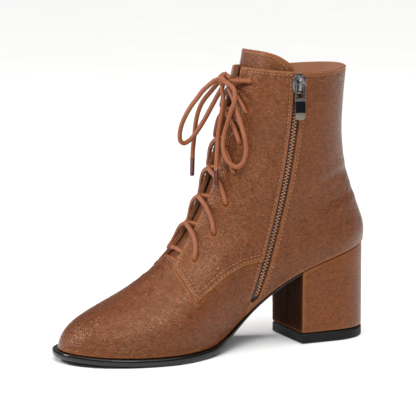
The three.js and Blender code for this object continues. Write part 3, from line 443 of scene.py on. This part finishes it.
def leather_colour(material, tones, cloud, mottle, wrinkle, tops):
    """The colour: two dye tones by cloud, mottle and wrinkles, darker in grain valleys, painted shade in
    creases, rubbed at edges
    """
    mixed = add_node(material, "ShaderNodeMath", {0: mottle, 1: 0.4, 2: 0.05}, operation="MULTIPLY_ADD")
    clouded = {0: cloud, 1: 0.5, 2: mixed.outputs[0]}
    broad = add_node(material, "ShaderNodeMath", clouded, operation="MULTIPLY_ADD")
    fine = add_node(material, "ShaderNodeMath", {0: wrinkle, 1: 2.2, 2: -1.1}, operation="MULTIPLY_ADD")
    both = {0: broad.outputs[0], 1: fine.outputs[0]}
    share = add_node(material, "ShaderNodeMath", both, operation="ADD", use_clamp=True)
    valleys = add_node(material, "ShaderNodeMath", {0: tops, 1: -0.4, 2: 0.4}, operation="MULTIPLY_ADD")
    layers = [(share, tones[1]), (valleys, "#2c1206")]
    # Painted shade: creases and pressed seam rows are darkened towards near-black brown, as shade in their
    # hollows; rubbed edges are lighter wear
    for mark, most, tint in (("worn", 0.28, "#b06c3c"), ("crease_shade", 0.6, "#230d05")):
        marked = add_node(material, "ShaderNodeAttribute", attribute_name=mark)
        part = {0: marked.outputs["Fac"], 1: most}
        layers.append((add_node(material, "ShaderNodeMath", part, operation="MULTIPLY", use_clamp=True), tint))
    colour = linear(tones[0])
    for amount, tint in layers:
        laid = {0: amount.outputs[0], 6: colour, 7: linear(tint)}
        colour = add_node(material, "ShaderNodeMix", laid, data_type="RGBA").outputs[2]
    return colour


def grained_leather(name, tones, roughness=0.27, grain=1.0, shine=0.5):
    """Full-grain leather, waxed: it catches a warm light on the tops of its grain and its wrinkles"""
    veil = linear("#ffd2ae")
    material, shader = new_material(name, roughness, Specular_IOR_Level=shine, Specular_Tint=veil)
    cloud, mottle, wrinkle, folds, tops = leather_patterns(material)
    flexed = add_node(material, "ShaderNodeAttribute", attribute_name="flexed")
    bent = add_node(material, "ShaderNodeMath", {0: folds, 1: flexed.outputs["Fac"]}, operation="MULTIPLY")
    height = 0.0
    for pattern, share in ((bent.outputs[0], 2.6), (tops, 0.3), (wrinkle, 1.1)):
        added = {0: pattern, 1: share, 2: height}
        height = add_node(material, "ShaderNodeMath", added, operation="MULTIPLY_ADD").outputs[0]
    relief = {"Strength": 0.85 * grain, "Distance": 0.0004, "Height": height}
    bump = add_node(material, "ShaderNodeBump", relief)
    rough = add_node(material, "ShaderNodeMapRange", {0: mottle, 3: roughness - 0.06, 4: roughness + 0.06})
    give(material, shader, "Base Color", leather_colour(material, tones, cloud, mottle, wrinkle, tops))
    give(material, shader, "Roughness", rough.outputs[0])
    give(material, shader, "Normal", bump.outputs["Normal"])
    return material


calf = grained_leather("full_grain_calf", ("#48240f", "#763f21"))
# Pigskin lining: pinkish tan, dull, with fine pores in groups
pigskin = mottled(
    "pigskin_lining", 0.72, ("#804d31", "#9f6a48"), (22.22, 2), (2.0, 3), (0.25, 0.0003), Sheen_Weight=0.15
)
# Cut edge of the leather: two layers glued, fibrous, and paler than the face
raw_edge = mottled("cut_leather_edge", 0.7, ("#5e331b", "#96603c"), (2.381, 3), (2.381, 3), (0.5, 0.0003))
# The line through the middle of leg and foot, in millimetres
middle_points = ((28, 0, 206), (26, 0, 115), (44, 0, 72), (108, 2, 30), (186, 3, 22))
middle_line = [Vector(point) / 1000 for point in middle_points]
same_place = 2e-5
# How far a patch has to face away from the middle, or to it, to count as outside or lining
facing_limit = 0.42
from_outside = 0.2


def outward(point):
    """The direction away from the line through the middle of the shoe"""
    nearest = None
    for a, b in zip(middle_line, middle_line[1:]):
        share = max(0.0, min(1.0, (point - a).dot(b - a) / (b - a).length_squared))
        foot = a + (b - a) * share
        if nearest is None or (point - foot).length < (point - nearest).length:
            nearest = foot
    return (point - nearest).normalized()


def merged_copy(node_name, sharp_degrees=33):
    """A CAD node as a clean bmesh in quads, its sharp edges marked and given a crease weight"""
    sharpness = 0.92
    bm = bmesh.new()
    bm.from_mesh(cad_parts[node_name].data)
    bmesh.ops.remove_doubles(bm, verts=bm.verts, dist=same_place)
    bmesh.ops.dissolve_degenerate(bm, edges=bm.edges, dist=same_place)
    crease = bm.edges.layers.float.new("crease_edge")
    for edge in bm.edges:
        if len(edge.link_faces) == 2 and edge.calc_face_angle() > math.radians(sharp_degrees):
            edge[crease] = sharpness
            edge.smooth = False
    bmesh.ops.join_triangles(
        bm, faces=bm.faces, cmp_sharp=True, angle_face_threshold=math.radians(14),
        angle_shape_threshold=math.radians(60),
    )
    return bm


def regions_by_side(bm):
    """Gives each face a material: 0 outside, 1 inside, 2 cut edge, by patches between sharp edges"""
    bm.faces.ensure_lookup_table()
    seen = set()
    for first in bm.faces:
        if first in seen:
            continue
        patch = [first]
        seen.add(first)
        for face in patch:
            for edge in face.edges:
                if not edge.smooth:
                    continue
                for other in edge.link_faces:
                    if other not in seen:
                        seen.add(other)
                        patch.append(other)
        area = sum(face.calc_area() for face in patch)
        facing = sum(face.normal.dot(outward(face.calc_center_median())) * face.calc_area() for face in patch)
        side = facing / max(area, 1e-12)
        for face in patch:
            face.material_index = 0 if side > facing_limit else 1 if side < -facing_limit else 2


def strip_layers(mesh):
    """Takes off the normals and the unwrapping that a CAD node's copy brings along"""
    for layer in ("custom_normal", "UVMap"):
        if layer in mesh.attributes:
            mesh.attributes.remove(mesh.attributes[layer])


def rounded_mesh(bm, name, levels):
    """The bmesh made smooth by subdivision, as a finished mesh"""
    mesh = mesh_from(bm, name + "_coarse")
    strip_layers(mesh)
    thing = bpy.data.objects.new(name + "_coarse", mesh)
    bpy.context.scene.collection.objects.link(thing)
    rounder = thing.modifiers.new("rounder", "SUBSURF")
    rounder.levels = levels
    rounder.render_levels = levels
    shown = thing.evaluated_get(bpy.context.evaluated_depsgraph_get())
    done = bpy.data.meshes.new_from_object(shown)
    done.name = name
    bpy.data.objects.remove(thing)
    return done


def mesh_arrays(mesh):
    """A mesh's places and normals as arrays"""
    places = np.empty(len(mesh.vertices) * 3)
    mesh.vertices.foreach_get("co", places)
    normals = np.empty(len(mesh.vertices) * 3)
    mesh.vertices.foreach_get("normal", normals)
    return places.reshape(-1, 3), normals.reshape(-1, 3)


def store(mesh, name, values):
    """Keeps a number for each vertex, for the materials"""
    layer = mesh.attributes.get(name) or mesh.attributes.new(name, "FLOAT", "POINT")
    layer.data.foreach_set("value", np.asarray(values, np.float32))


def wear(mesh, reach=0.0016):
    """Marks how near each vertex is to a sharp edge, where dye rubs off"""
    corners = {v for edge in mesh.edges if edge.use_edge_sharp for v in edge.vertices}
    tree = KDTree(len(corners))
    for n, v in enumerate(corners):
        tree.insert(mesh.vertices[v].co, n)
    tree.balance()
    near = [math.exp(-((tree.find(v.co)[2] / reach) ** 2)) if corners else 0.0 for v in mesh.vertices]
    store(mesh, "worn", near)


def distance_to_line(places, line):
    """How far each place is from a line of points"""
    nearest = np.full(len(places), 1e9)
    for a, b in zip(line, line[1:]):
        a = np.array(a)
        b = np.array(b)
        share = np.clip(((places - a) @ (b - a)) / ((b - a) @ (b - a)), 0, 1)
        nearest = np.minimum(nearest, np.linalg.norm(places - a - share[:, None] * (b - a), axis=1))
    return nearest


# Creases, in millimetres: the line of each, how deep, and how wide. The leather rises in a ridge on both sides
# of each, so many widths away and with such a share of the depth.
creases = [
    ([(131, 8, 56), (126, 20, 53), (121, 29, 47), (117, 37, 38)], 0.4, 1.7),
    ([(136, 10, 54), (131, 22, 50), (126, 32, 43), (122, 38, 34)], 0.3, 1.6),
    ([(141, 14, 51), (137, 26, 46), (132, 34, 38)], 0.25, 1.6),
    ([(131, -8, 56), (127, -20, 52), (122, -30, 45), (116, -38, 36)], 0.45, 2.0),
    ([(138, -10, 53), (134, -22, 49), (129, -33, 40)], 0.35, 2.0),
    ([(96, 36, 40), (88, 35, 44), (80, 34, 46)], 0.3, 2.2),
    ([(60, 31, 118), (66, 28, 112), (76, 26, 104)], 0.4, 2.2),
    ([(52, 33, 128), (60, 30, 122), (72, 25, 118)], 0.3, 2.0),
    ([(10, 30, 96), (0, 24, 100), (-10, 12, 102), (-12, 0, 102), (-10, -12, 102), (0, -24, 100)], 0.5, 2.8),
    ([(14, 31, 112), (2, 27, 116), (-8, 14, 118), (-10, 0, 118), (-8, -14, 118)], 0.4, 2.6),
    ([(60, -32, 100), (74, -28, 104), (84, -23, 107)], 0.5, 2.4),
    ([(56, -33, 88), (72, -30, 92), (88, -25, 94)], 0.4, 2.4),
]
ridge_place = 2.1
ridge_share = 0.55
deepest_mm = 1.2
highest_mm = 0.6


def outer_share(mesh):
    """1 for each vertex of the outer face, 0 for the rest"""
    share = np.zeros(len(mesh.vertices))
    for face in mesh.polygons:
        if face.material_index == 0:
            share[list(face.vertices)] = 1
    return share


def tree_of(mesh):
    """A mesh as a tree that lines of sight and nearest places are looked up in"""
    return BVHTree.FromPolygons(
        [vertex.co.copy() for vertex in mesh.vertices], [list(face.vertices) for face in mesh.polygons]
    )


def laid_line(tree, line):
    """A line in millimetres laid on a surface, as places in metres"""
    dense = [Vector(a).lerp(Vector(b), k / 5) for a, b in zip(line, line[1:]) for k in range(5)]
    return [tree.find_nearest(point / 1000)[0] for point in [*dense, Vector(line[-1])]]


def set_places(mesh, places):
    """Moves a mesh's vertices to new places"""
    mesh.vertices.foreach_set("co", places.ravel())
    mesh.update()


upper_bm = merged_copy("upper")
regions_by_side(upper_bm)
upper_mesh = rounded_mesh(upper_bm, "upper_leather", 2)
places, normals = mesh_arrays(upper_mesh)
lasted_tree = tree_of(upper_mesh)
laid_creases = [(laid_line(lasted_tree, line), depth, width) for line, depth, width in creases]
push = np.zeros(len(places))
for line, depth, width in laid_creases:
    gap = distance_to_line(places, line) * 1000 / width
    push -= depth * (np.exp(-(gap**2)) - ridge_share * np.exp(-((gap - ridge_place) ** 2)))
push = np.clip(push, -deepest_mm, highest_mm) * outer_share(upper_mesh) / 1000
set_places(upper_mesh, places + normals * push[:, None])
upper_tree = tree_of(upper_mesh)


def on_surface(tree, point, lift=0.0):
    """The nearest place on a surface, raised by lift, and the surface's direction there"""
    place, normal, _, _ = tree.find_nearest(point)
    return place + normal * lift, normal


def from_side(tree, x, z, side):
    """Where a line of sight from one side meets the surface, x and z in millimetres"""
    start = Vector((x / 1000, side * from_outside, z / 1000))
    return tree.ray_cast(start, Vector((0, -side, 0)))[0]


def inset(line, distance):
    """A side-view line moved to its right by a distance, its corners kept"""
    moved = []
    for k, point in enumerate(line):
        before = Vector(point) - Vector(line[k - 1]) if k else Vector(line[1]) - Vector(line[0])
        after = Vector(line[k + 1]) - Vector(point) if k + 1 < len(line) else before
        one = Vector((before[1], -before[0])).normalized()
        two = Vector((after[1], -after[0])).normalized()
        middle = (one + two).normalized()
        moved.append(Vector(point) + middle * distance / max(middle.dot(one), 0.5))
    return moved


def side_line(points, side, steps=10):
    """A side-view line laid on the upper, as places in metres"""
    line = []
    for a, b in zip(points, points[1:]):
        for k in range(steps):
            share = k / steps
            place = from_side(upper_tree, a[0] + (b[0] - a[0]) * share, a[1] + (b[1] - a[1]) * share, side)
            if place is not None:
                line.append(place)
    return line


# The quarters' lower edges and the zip's middle seen from the side, and the rows along the facings, all in
# millimetres
quarter_medial = [(129, 69.5), (121.4, 61.5), (113.9, 38.8), (104.4, 44.3), (89.7, 53.7), (76.1, 59.6),
                  (66.5, 61.3), (61.5, 60.6)]
quarter_lateral = [(129, 66), (122.5, 57.3), (112.8, 38.8), (101, 46.8), (85.2, 56.3), (69.3, 60.7),
                   (55.7, 57.3), (44.4, 48.7), (35.4, 34.4), (33.5, 24)]
zip_line = [(64, 38), (60.7, 53.5), (57.2, 64.9), (53.7, 76.4), (50.7, 87.9), (48.1, 99.3), (45.7, 110.8),
            (43.8, 122.2), (42.1, 133.7), (40.8, 145.2), (39.8, 156.6), (39.1, 168.1), (38.5, 179.5),
            (38, 187)]
facing_medial = [
    (119.3, 17.4, 59.7), (113.6, 14.6, 66.6), (108.4, 12.7, 73.5), (103.6, 12.1, 80.1), (99.2, 11.9, 86.9),
    (95.3, 11.7, 94), (91.9, 11.5, 101), (88.9, 11.4, 108.1), (86.2, 11.3, 115.1), (83.8, 11.1, 122.2),
    (81.6, 10.9, 129.2), (79.5, 10.6, 136.1), (77.6, 10.1, 142.8), (75.7, 9.6, 149.4), (73.9, 9, 156.3),
    (72, 8.6, 163.7), (70.2, 8.1, 171.7), (68.4, 7.7, 180.2), (67.2, 7.4, 185),
]
facing_lateral = [(x, (2.2 if z < 80 else 1.4) - y * 1.04, z) for x, y, z in facing_medial]
quarters = ((quarter_medial, 1), (quarter_lateral, -1))
# Stitch rows, in millimetres from the quarters' edges and from the middle of the zip
quarter_rows = (2.0, 4.4)
zip_rows = (5.2, -5.2)
edge_row = -0.5
leg_middle = Vector((0.0276, 0, 0))
leg_reach = 0.09
leg_top = 0.193
leg_search_end = 0.18
leg_step = 0.0004
collar_row = 0.0024


def seen_on_leg(direction, height):
    """The place on the leg's outer face at a height, seen from one direction"""
    start = leg_middle + Vector((0, 0, height)) + direction * leg_reach
    return upper_tree.ray_cast(start, -direction)[0]


def on_collar_row(angle):
    """The place of the collar's stitch row at an angle round the leg, a little below the leather's top"""
    direction = Vector((math.cos(angle), math.sin(angle), 0))
    height = leg_top - leg_step
    while height > leg_search_end and seen_on_leg(direction, height) is None:
        height -= leg_step
    return seen_on_leg(direction, height - collar_row)


collar_places = [on_collar_row(math.radians(18 + 324 * k / 72)) for k in range(73)]
stitch_lines = []
for distance in quarter_rows:
    for edge, side in quarters:
        stitch_lines.append(side_line(inset(edge, distance), side))
for distance in zip_rows:
    stitch_lines.append(side_line(inset(zip_line, distance), 1))
for line in (facing_medial, facing_lateral):
    stitch_lines.append([Vector(point) / 1000 for point in line])
stitch_lines.append([place for place in collar_places if place is not None])

# The closed seam down the middle of the back, pressed flat
back_seam = []
for k in range(60):
    height = (72 + 116 * k / 59) / 1000
    place = upper_tree.ray_cast(Vector((-from_outside, 0, height)), Vector((1, 0, 0)))[0]
    if place is not None:
        back_seam.append(place)


def line_tree(lines):
    """Places close together along lines, for looking up the nearest"""
    dense = [a + (b - a) * k / 8 for line in lines for a, b in zip(line, line[1:]) for k in range(8)]
    tree = KDTree(len(dense))
    for n, place in enumerate(dense):
        tree.insert(place, n)
    tree.balance()
    return tree


def divide_near(mesh, tree, reach, longest):
    """Halves the long edges near the lines, so that a pressed row shows"""
    bm = bmesh.new()
    bm.from_mesh(mesh)
    near = {vertex for vertex in bm.verts if tree.find(vertex.co)[2] < reach}
    edges = [edge for edge in bm.edges if near.issuperset(edge.verts) and edge.calc_length() > longest]
    bmesh.ops.subdivide_edges(bm, edges=edges, cuts=1, use_grid_fill=True)
    bm.to_mesh(mesh)
    bm.free()


seam_width = 0.0006
seam_depth = 0.00028
quarter_edges = [side_line(inset(edge, edge_row), side) for edge, side in quarters]
seam_tree = line_tree([*stitch_lines, *quarter_edges, back_seam])
for reach, longest in ((0.0026, 0.0013), (0.0017, 0.0009)):
    divide_near(upper_mesh, seam_tree, reach, longest)
places, normals = mesh_arrays(upper_mesh)
outer = outer_share(upper_mesh)
pressed = np.array([math.exp(-((seam_tree.find(Vector(place))[2] / seam_width) ** 2)) for place in places])
places -= normals * (pressed * outer * seam_depth)[:, None]
set_places(upper_mesh, places)
upper_tree = tree_of(upper_mesh)
wear(upper_mesh)
# Painted shade: a darker colour along the crease lines and the pressed seam rows, standing in for the shade in
# their hollows
crease_shade_amount = np.zeros(len(places))
for line, depth, width in laid_creases:
    gap = distance_to_line(places, line) * 1000
    crease_shade_amount = np.maximum(crease_shade_amount, depth * np.exp(-((gap / (0.5 * width)) ** 2)))
store(upper_mesh, "crease_shade", np.maximum(crease_shade_amount * 0.7, pressed * 0.75) * outer)
# Where the leather flexes, in millimetres: the middle of each spot, and its reach
flex_spots = [((123, 20, 54), 11), ((120, 29, 47), 10), ((140, 10, 54), 12), ((124, -26, 50), 11),
              ((72, 28, 104), 12), ((56, 31, 122), 10), ((84, 34, 46), 10), ((72, -30, 98), 12),
              ((-6, 16, 106), 10)]
flexed = np.zeros(len(places))
for spot, reach in flex_spots:
    gap = np.linalg.norm(places * 1000 - np.array(spot), axis=1)
    flexed = np.maximum(flexed, np.exp(-((gap / reach) ** 2)))
store(upper_mesh, "flexed", flexed)
upper_piece = finished_object("upper_leather", upper_mesh, "boot", "leather", calf, pigskin, raw_edge)
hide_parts("upper")

# Tongue
# A wide soft tongue of the same calf, lined, its rounded top turned and stitched. It stands above the collar
# and follows the front of the leg behind the facings.
tongue_bm = merged_copy("tongue")
regions_by_side(tongue_bm)
tongue_mesh = rounded_mesh(tongue_bm, "tongue_leather", 2)
wear(tongue_mesh)
soft_calf = grained_leather("soft_calf", ("#4d2813", "#7b4426"), roughness=0.32, grain=0.9)
tongue_sides = (soft_calf, pigskin, soft_calf)
tongue_piece = finished_object("tongue_leather", tongue_mesh, "boot", "leather", *tongue_sides)
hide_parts("tongue")
tongue_tree = tree_of(tongue_mesh)

# Insole
# A board with a sock of the lining's pigskin glued on it. It lies inside the upper, on the sole.
insole_mesh = rounded_mesh(merged_copy("insole"), "sock", 2)
insole_piece = finished_object("sock", insole_mesh, "boot", "lining", pigskin)
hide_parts("insole")


# Stitches
# Bonded thread in the leather's own colour, nine stitches to 25 mm, drawn a little into the leather. Two rows
# hold the quarters to the vamp, and one row runs along the facings, the collar, the zip and the tongue.
stitch_pitch = 0.0028
stitch_length = 0.0022
stitch_lift = 0.00006
thread_radius = 0.0004
# Bonded nylon: smooth, tan, slightly glossy, its twist 0.6 mm long
thread = mottled("bonded_thread", 0.5, ("#754221", "#a5683c"), (0.625, 1), Sheen_Weight=0.2)


def set_down(place, across, normal, along):
    """The place and turn of a small thing that lies on a surface"""
    return Matrix.Translation(place) @ Matrix((across, normal, along)).transposed().to_4x4()


def stitch_row(bm, tree, line):
    """Stitches along a line of places in metres, each a small drawn-in sphere"""
    size = Matrix.Diagonal((thread_radius, thread_radius, stitch_length / 2, 1))
    gone = measured(line)
    for k in range(int(gone[-1] / stitch_pitch)):
        start = (k + 0.1) * stitch_pitch
        one, two = [place_along(line, gone, distance) for distance in (start, start + stitch_length)]
        middle, normal = on_surface(tree, (one + two) / 2, stitch_lift)
        along = two - one
        along = (along - normal * along.dot(normal)).normalized()
        if along.length == 0:
            continue
        turned = set_down(middle, normal.cross(along), normal, along)
        bmesh.ops.create_uvsphere(bm, u_segments=6, v_segments=4, radius=1, matrix=turned @ size)


tongue_row = 0.0022
tongue_step = 0.0003


def seen_on_tongue(angle, reach):
    """The place on the tongue seen from the front, at an angle from its top and a reach from its middle"""
    start = Vector((from_outside, reach * math.sin(angle), 0.17 + reach * math.cos(angle)))
    return tongue_tree.ray_cast(start, Vector((-1, 0, 0)))[0]


def on_tongue_row(angle):
    """The place of the tongue's stitch row at an angle, inside its rounded edge"""
    reach = 0.02
    while reach < 0.05 and seen_on_tongue(angle, reach) is not None:
        reach += tongue_step
    return seen_on_tongue(angle, reach - tongue_row)


stitches = bmesh.new()
for line in stitch_lines:
    stitch_row(stitches, upper_tree, line)
tongue_places = [on_tongue_row(math.radians(-72 + 144 * k / 60)) for k in range(61)]
stitch_row(stitches, tongue_tree, [place for place in tongue_places if place is not None])
stitch_piece = finished_object("stitches", mesh_from(stitches, "stitches"), "boot", "leather", thread)


# Sole
# A thin black rubber sole with a polished, rounded edge that stands a little proud of the upper. It bends up
# at the toe and over the arch, and ends at the breast of the heel.
def black_rubber(name, roughness, shine, grain):
    """Moulded rubber: near black, slightly dusty in patches, its fine grain drawn coarse enough to show"""
    return mottled(
        name, roughness, ("#040404", "#0e0d0c"), (16.67, 3), (1.429, 3), (grain, 0.0003), wander=(0.06, 0.1),
        Specular_IOR_Level=shine,
    )


polished_rubber = black_rubber("polished_sole_rubber", 0.16, 0.4, 0.02)
outsole_mesh = rounded_mesh(merged_copy("outsole", 50), "sole", 2)
outsole_piece = finished_object("sole", outsole_mesh, "boot", "sole", polished_rubber)
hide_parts("outsole")


# Heel
# A stacked block covered with the same calf, its joint a seam down the middle of the breast, where the cover
# is painted near black as shade and left dull. A black rubber lift is nailed under it.
heel_mesh = rounded_mesh(merged_copy("heel_block"), "heel_cover", 3)
wear(heel_mesh, 0.0012)
heel_calf = grained_leather("heel_calf", ("#512813", "#7e4524"), roughness=0.34, grain=0.8)
# Painted shade: the breast faces away from the light, so its cover and seam take a near-black tone
breast_shade_calf = grained_leather("breast_shade_calf", ("#1f0b03", "#371a0a"), roughness=0.8, grain=0.8, shine=0.06)
breast = [face for face in heel_mesh.polygons if face.normal.x > 0.9]
for face in breast:
    face.material_index = 1
heel_piece = finished_object("heel_cover", heel_mesh, "boot", "leather", heel_calf, breast_shade_calf)
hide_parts("heel_block")


def round_edges(bm, edges, width, segments):
    """Rounds edges over a width in metres"""
    bmesh.ops.bevel(
        bm, geom=edges, offset=width, offset_type="OFFSET", affect="EDGES", segments=segments, profile=0.5,
        material=-1, clamp_overlap=True,
    )


# The cover's two edges meet in a closed seam down the middle of the breast
low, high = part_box("heel_block")
breast_x = max(heel_mesh.vertices[v].co.x for face in breast for v in face.vertices)
seam_middle = (low.z + high.z) / 2 - 0.004
seam_lip = (0.0004, 0.0005, high.z - low.z - 0.016)
lip_place = 0.00032
lip_rounding = 0.00012
seam = bmesh.new()
for side in (-1, 1):
    body = Matrix.Translation((breast_x, side * lip_place, seam_middle))
    bmesh.ops.create_cube(seam, size=1, matrix=body @ Matrix.Diagonal((*seam_lip, 1)))
round_edges(seam, list(seam.edges), lip_rounding, 2)
seam_piece = finished_object("breast_seam", mesh_from(seam, "breast_seam"), "boot", "leather", breast_shade_calf)
matte_rubber = black_rubber("heel_lift_rubber", 0.55, 0.25, 0.3)
lift_mesh = rounded_mesh(merged_copy("top_lift"), "heel_lift", 3)
lift_piece = finished_object("heel_lift", lift_mesh, "boot", "sole", matte_rubber)
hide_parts("top_lift")


# Zip
# A metal-toothed zip on a woven tape behind the slot of the medial side, closed. Its die-cast slider is at
# the top, with a pull tab hinged on its bridge.
tooth_pitch = 0.0022
tooth_size = (0.0019, 0.0011, 0.0009)
tooth_offset = 0.0007
tooth_lift = 0.0001
tooth_rounding = 0.00022
cast_rounding = 0.0003


def woven_tape():
    """Polyester tape in twill: dark brown, dull, its ribs drawn 1.1 mm apart, coarse enough to show"""
    rib_pitch = 0.0011336
    material, shader = new_material("polyester_tape", 0.8, Sheen_Weight=0.2)
    place = add_node(material, "ShaderNodeTexCoord").outputs["Object"]
    ribs = {"Vector": place, "Scale": math.tau / (10 * math.sqrt(3) * rib_pitch), "Distortion": 0.4}
    twill = add_node(material, "ShaderNodeTexWave", ribs, bands_direction="DIAGONAL")
    tones = {0: twill.outputs["Fac"], 6: linear("#150c09"), 7: linear("#2e1c15")}
    tone = add_node(material, "ShaderNodeMix", tones, data_type="RGBA")
    relief = {"Strength": 0.4, "Distance": 0.0003, "Height": twill.outputs["Fac"]}
    bump = add_node(material, "ShaderNodeBump", relief)
    give(material, shader, "Base Color", tone.outputs[2])
    give(material, shader, "Normal", bump.outputs["Normal"])
    return material


def plated_metal(name, tones, roughness):
    """Die-cast zinc, plated: satin, its fine scratches drawn coarse enough to show"""
    return mottled(
        name, roughness, tones, (1.111, 4), (1.111, 4), (0.15, 0.0001), wander=(0.08, 0.14), Metallic=1.0
    )


def hard_copy(node_name, name):
    """A CAD node's copy with its edges rounded, as cast metal has"""
    flat = math.radians(3)
    sharp = math.radians(28)
    bm = bmesh.new()
    bm.from_mesh(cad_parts[node_name].data)
    bmesh.ops.remove_doubles(bm, verts=bm.verts, dist=same_place)
    bmesh.ops.dissolve_limit(
        bm, angle_limit=flat, verts=bm.verts, edges=bm.edges, use_dissolve_boundaries=False
    )
    edges = [e for e in bm.edges if len(e.link_faces) == 2 and e.calc_face_angle() > sharp]
    round_edges(bm, edges, cast_rounding, 2)
    mesh = mesh_from(bm, name)
    strip_layers(mesh)
    return mesh


tape_mesh = rounded_mesh(merged_copy("zip_tape"), "zip_tape_cloth", 1)
tape_piece = finished_object("zip_tape_cloth", tape_mesh, "boot", "zip_tape", woven_tape())
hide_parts("zip_tape")
tape_tree = tree_of(tape_mesh)

# The teeth stand in turn on either side of the chain's middle
seen_chain = [from_side(tape_tree, x, z, 1) for x, z in zip_line]
chain = [place for place in seen_chain if place is not None]
gone = measured(chain)
teeth = bmesh.new()
for k in range(int(gone[-1] / (tooth_pitch / 2))):
    distance = k * tooth_pitch / 2
    here = place_along(chain, gone, distance)
    along = (place_along(chain, gone, distance + 0.001) - here).normalized()
    if along.length == 0:
        continue
    place, normal = on_surface(tape_tree, here)
    across = along.cross(normal).normalized() * (1 if k % 2 else -1)
    body = set_down(place + across * tooth_offset + normal * tooth_lift, across, normal, along)
    bmesh.ops.create_cube(teeth, size=1, matrix=body @ Matrix.Diagonal((*tooth_size, 1)))
round_edges(teeth, list(teeth.edges), tooth_rounding, 1)
tooth_metal = plated_metal("dark_bronze_teeth", ("#8a5a42", "#d8a27c"), 0.34)
teeth_mesh = mesh_from(teeth, "zip_teeth", smooth=False)
teeth_piece = finished_object("zip_teeth", teeth_mesh, "boot", "zip_metal", tooth_metal)

gunmetal = plated_metal("gunmetal_plate", ("#4a4a4b", "#8e8d8c"), 0.2)
slider_piece = finished_object("slider", hard_copy("zip_slider", "slider"), "boot", "zip_metal", gunmetal)
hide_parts("zip_slider")

# The tab has a black nickel face between satin rims, and a brushed end
black_nickel = plated_metal("black_nickel_plate", ("#0c0d0f", "#222427"), 0.16)
brushed_end = plated_metal("brushed_tab_end", ("#5d564d", "#857d72"), 0.34)
end_height = 0.0048
hinge_height = 0.0115
pull_low, pull_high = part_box("zip_pull")
end_top = pull_low.z + end_height
face_top = pull_high.z - hinge_height
pull_mesh = hard_copy("zip_pull", "pull_tab")
pull_bm = bmesh.new()
pull_bm.from_mesh(pull_mesh)
for height in (end_top, face_top):
    everything = [*pull_bm.verts, *pull_bm.edges, *pull_bm.faces]
    bmesh.ops.bisect_plane(pull_bm, geom=everything, plane_co=(0, 0, height), plane_no=(0, 0, 1))
for face in pull_bm.faces:
    middle = face.calc_center_median()
    if middle.z < end_top:
        face.material_index = 2
    elif middle.z < face_top and face.normal.y > 0.9:
        face.material_index = 1
pull_bm.to_mesh(pull_mesh)
pull_bm.free()
plates = (gunmetal, black_nickel, brushed_end)
pull_piece = finished_object("pull_tab", pull_mesh, "zip_pull", "zip_metal", *plates)
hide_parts("zip_pull")

# Floor and light
# A plain pale studio floor under a wide soft light from above, with two soft lamps at the toe, one on the
# camera's side and a weak one behind.
floor_bm = bmesh.new()
bmesh.ops.create_grid(floor_bm, x_segments=1, y_segments=1, size=60)
floor = bpy.data.objects.new("floor", mesh_from(floor_bm, "floor"))
bpy.context.scene.collection.objects.link(floor)
floor.data.transform(Matrix.Translation((0.12, 0, -0.0002)))
floor.data.materials.append(mottled("studio_paper", 0.8, ("#fbfaf9", "#ffffff"), (166.67, 2)))

# Each lamp's name, place, size in metres and power in watts
lamps = (
    ("light_toe_side", (0.95, 0.6, 1.4), 0.5, 1.5),
    ("light_front_left", (1.16, -0.47, 0.82), 0.36, 12),
    ("light_camera_side", (0.35, 0.9, 1.06), 0.4, 8),
    ("light_behind", (-0.5, -1.1, 1.0), 0.7, 0.7),
)
lit_place = Vector((0.1, 0, 0.09))
for name, place, size, power in lamps:
    lamp = bpy.data.lights.new(name, "AREA")
    lamp.size = size
    lamp.energy = power
    light = bpy.data.objects.new(name, lamp)
    light.location = place
    light.rotation_euler = (lit_place - light.location).to_track_quat("-Z", "Y").to_euler()
    bpy.context.scene.collection.objects.link(light)
ceiling_lamp = bpy.data.lights.new("light_ceiling", "SUN")
ceiling_lamp.energy = 2.8
ceiling_lamp.angle = math.radians(80)
ceiling = bpy.data.objects.new("light_ceiling", ceiling_lamp)
ceiling.rotation_euler = (math.radians(-18), math.radians(4), 0)
bpy.context.scene.collection.objects.link(ceiling)
world = bpy.context.scene.world or bpy.data.worlds.new("studio")
bpy.context.scene.world = world
world.use_nodes = True
background = world.node_tree.nodes["Background"]
background.inputs["Color"].default_value = linear("#f1f0ee")
background.inputs["Strength"].default_value = 0.2
bpy.context.scene.view_settings.view_transform = "Standard"
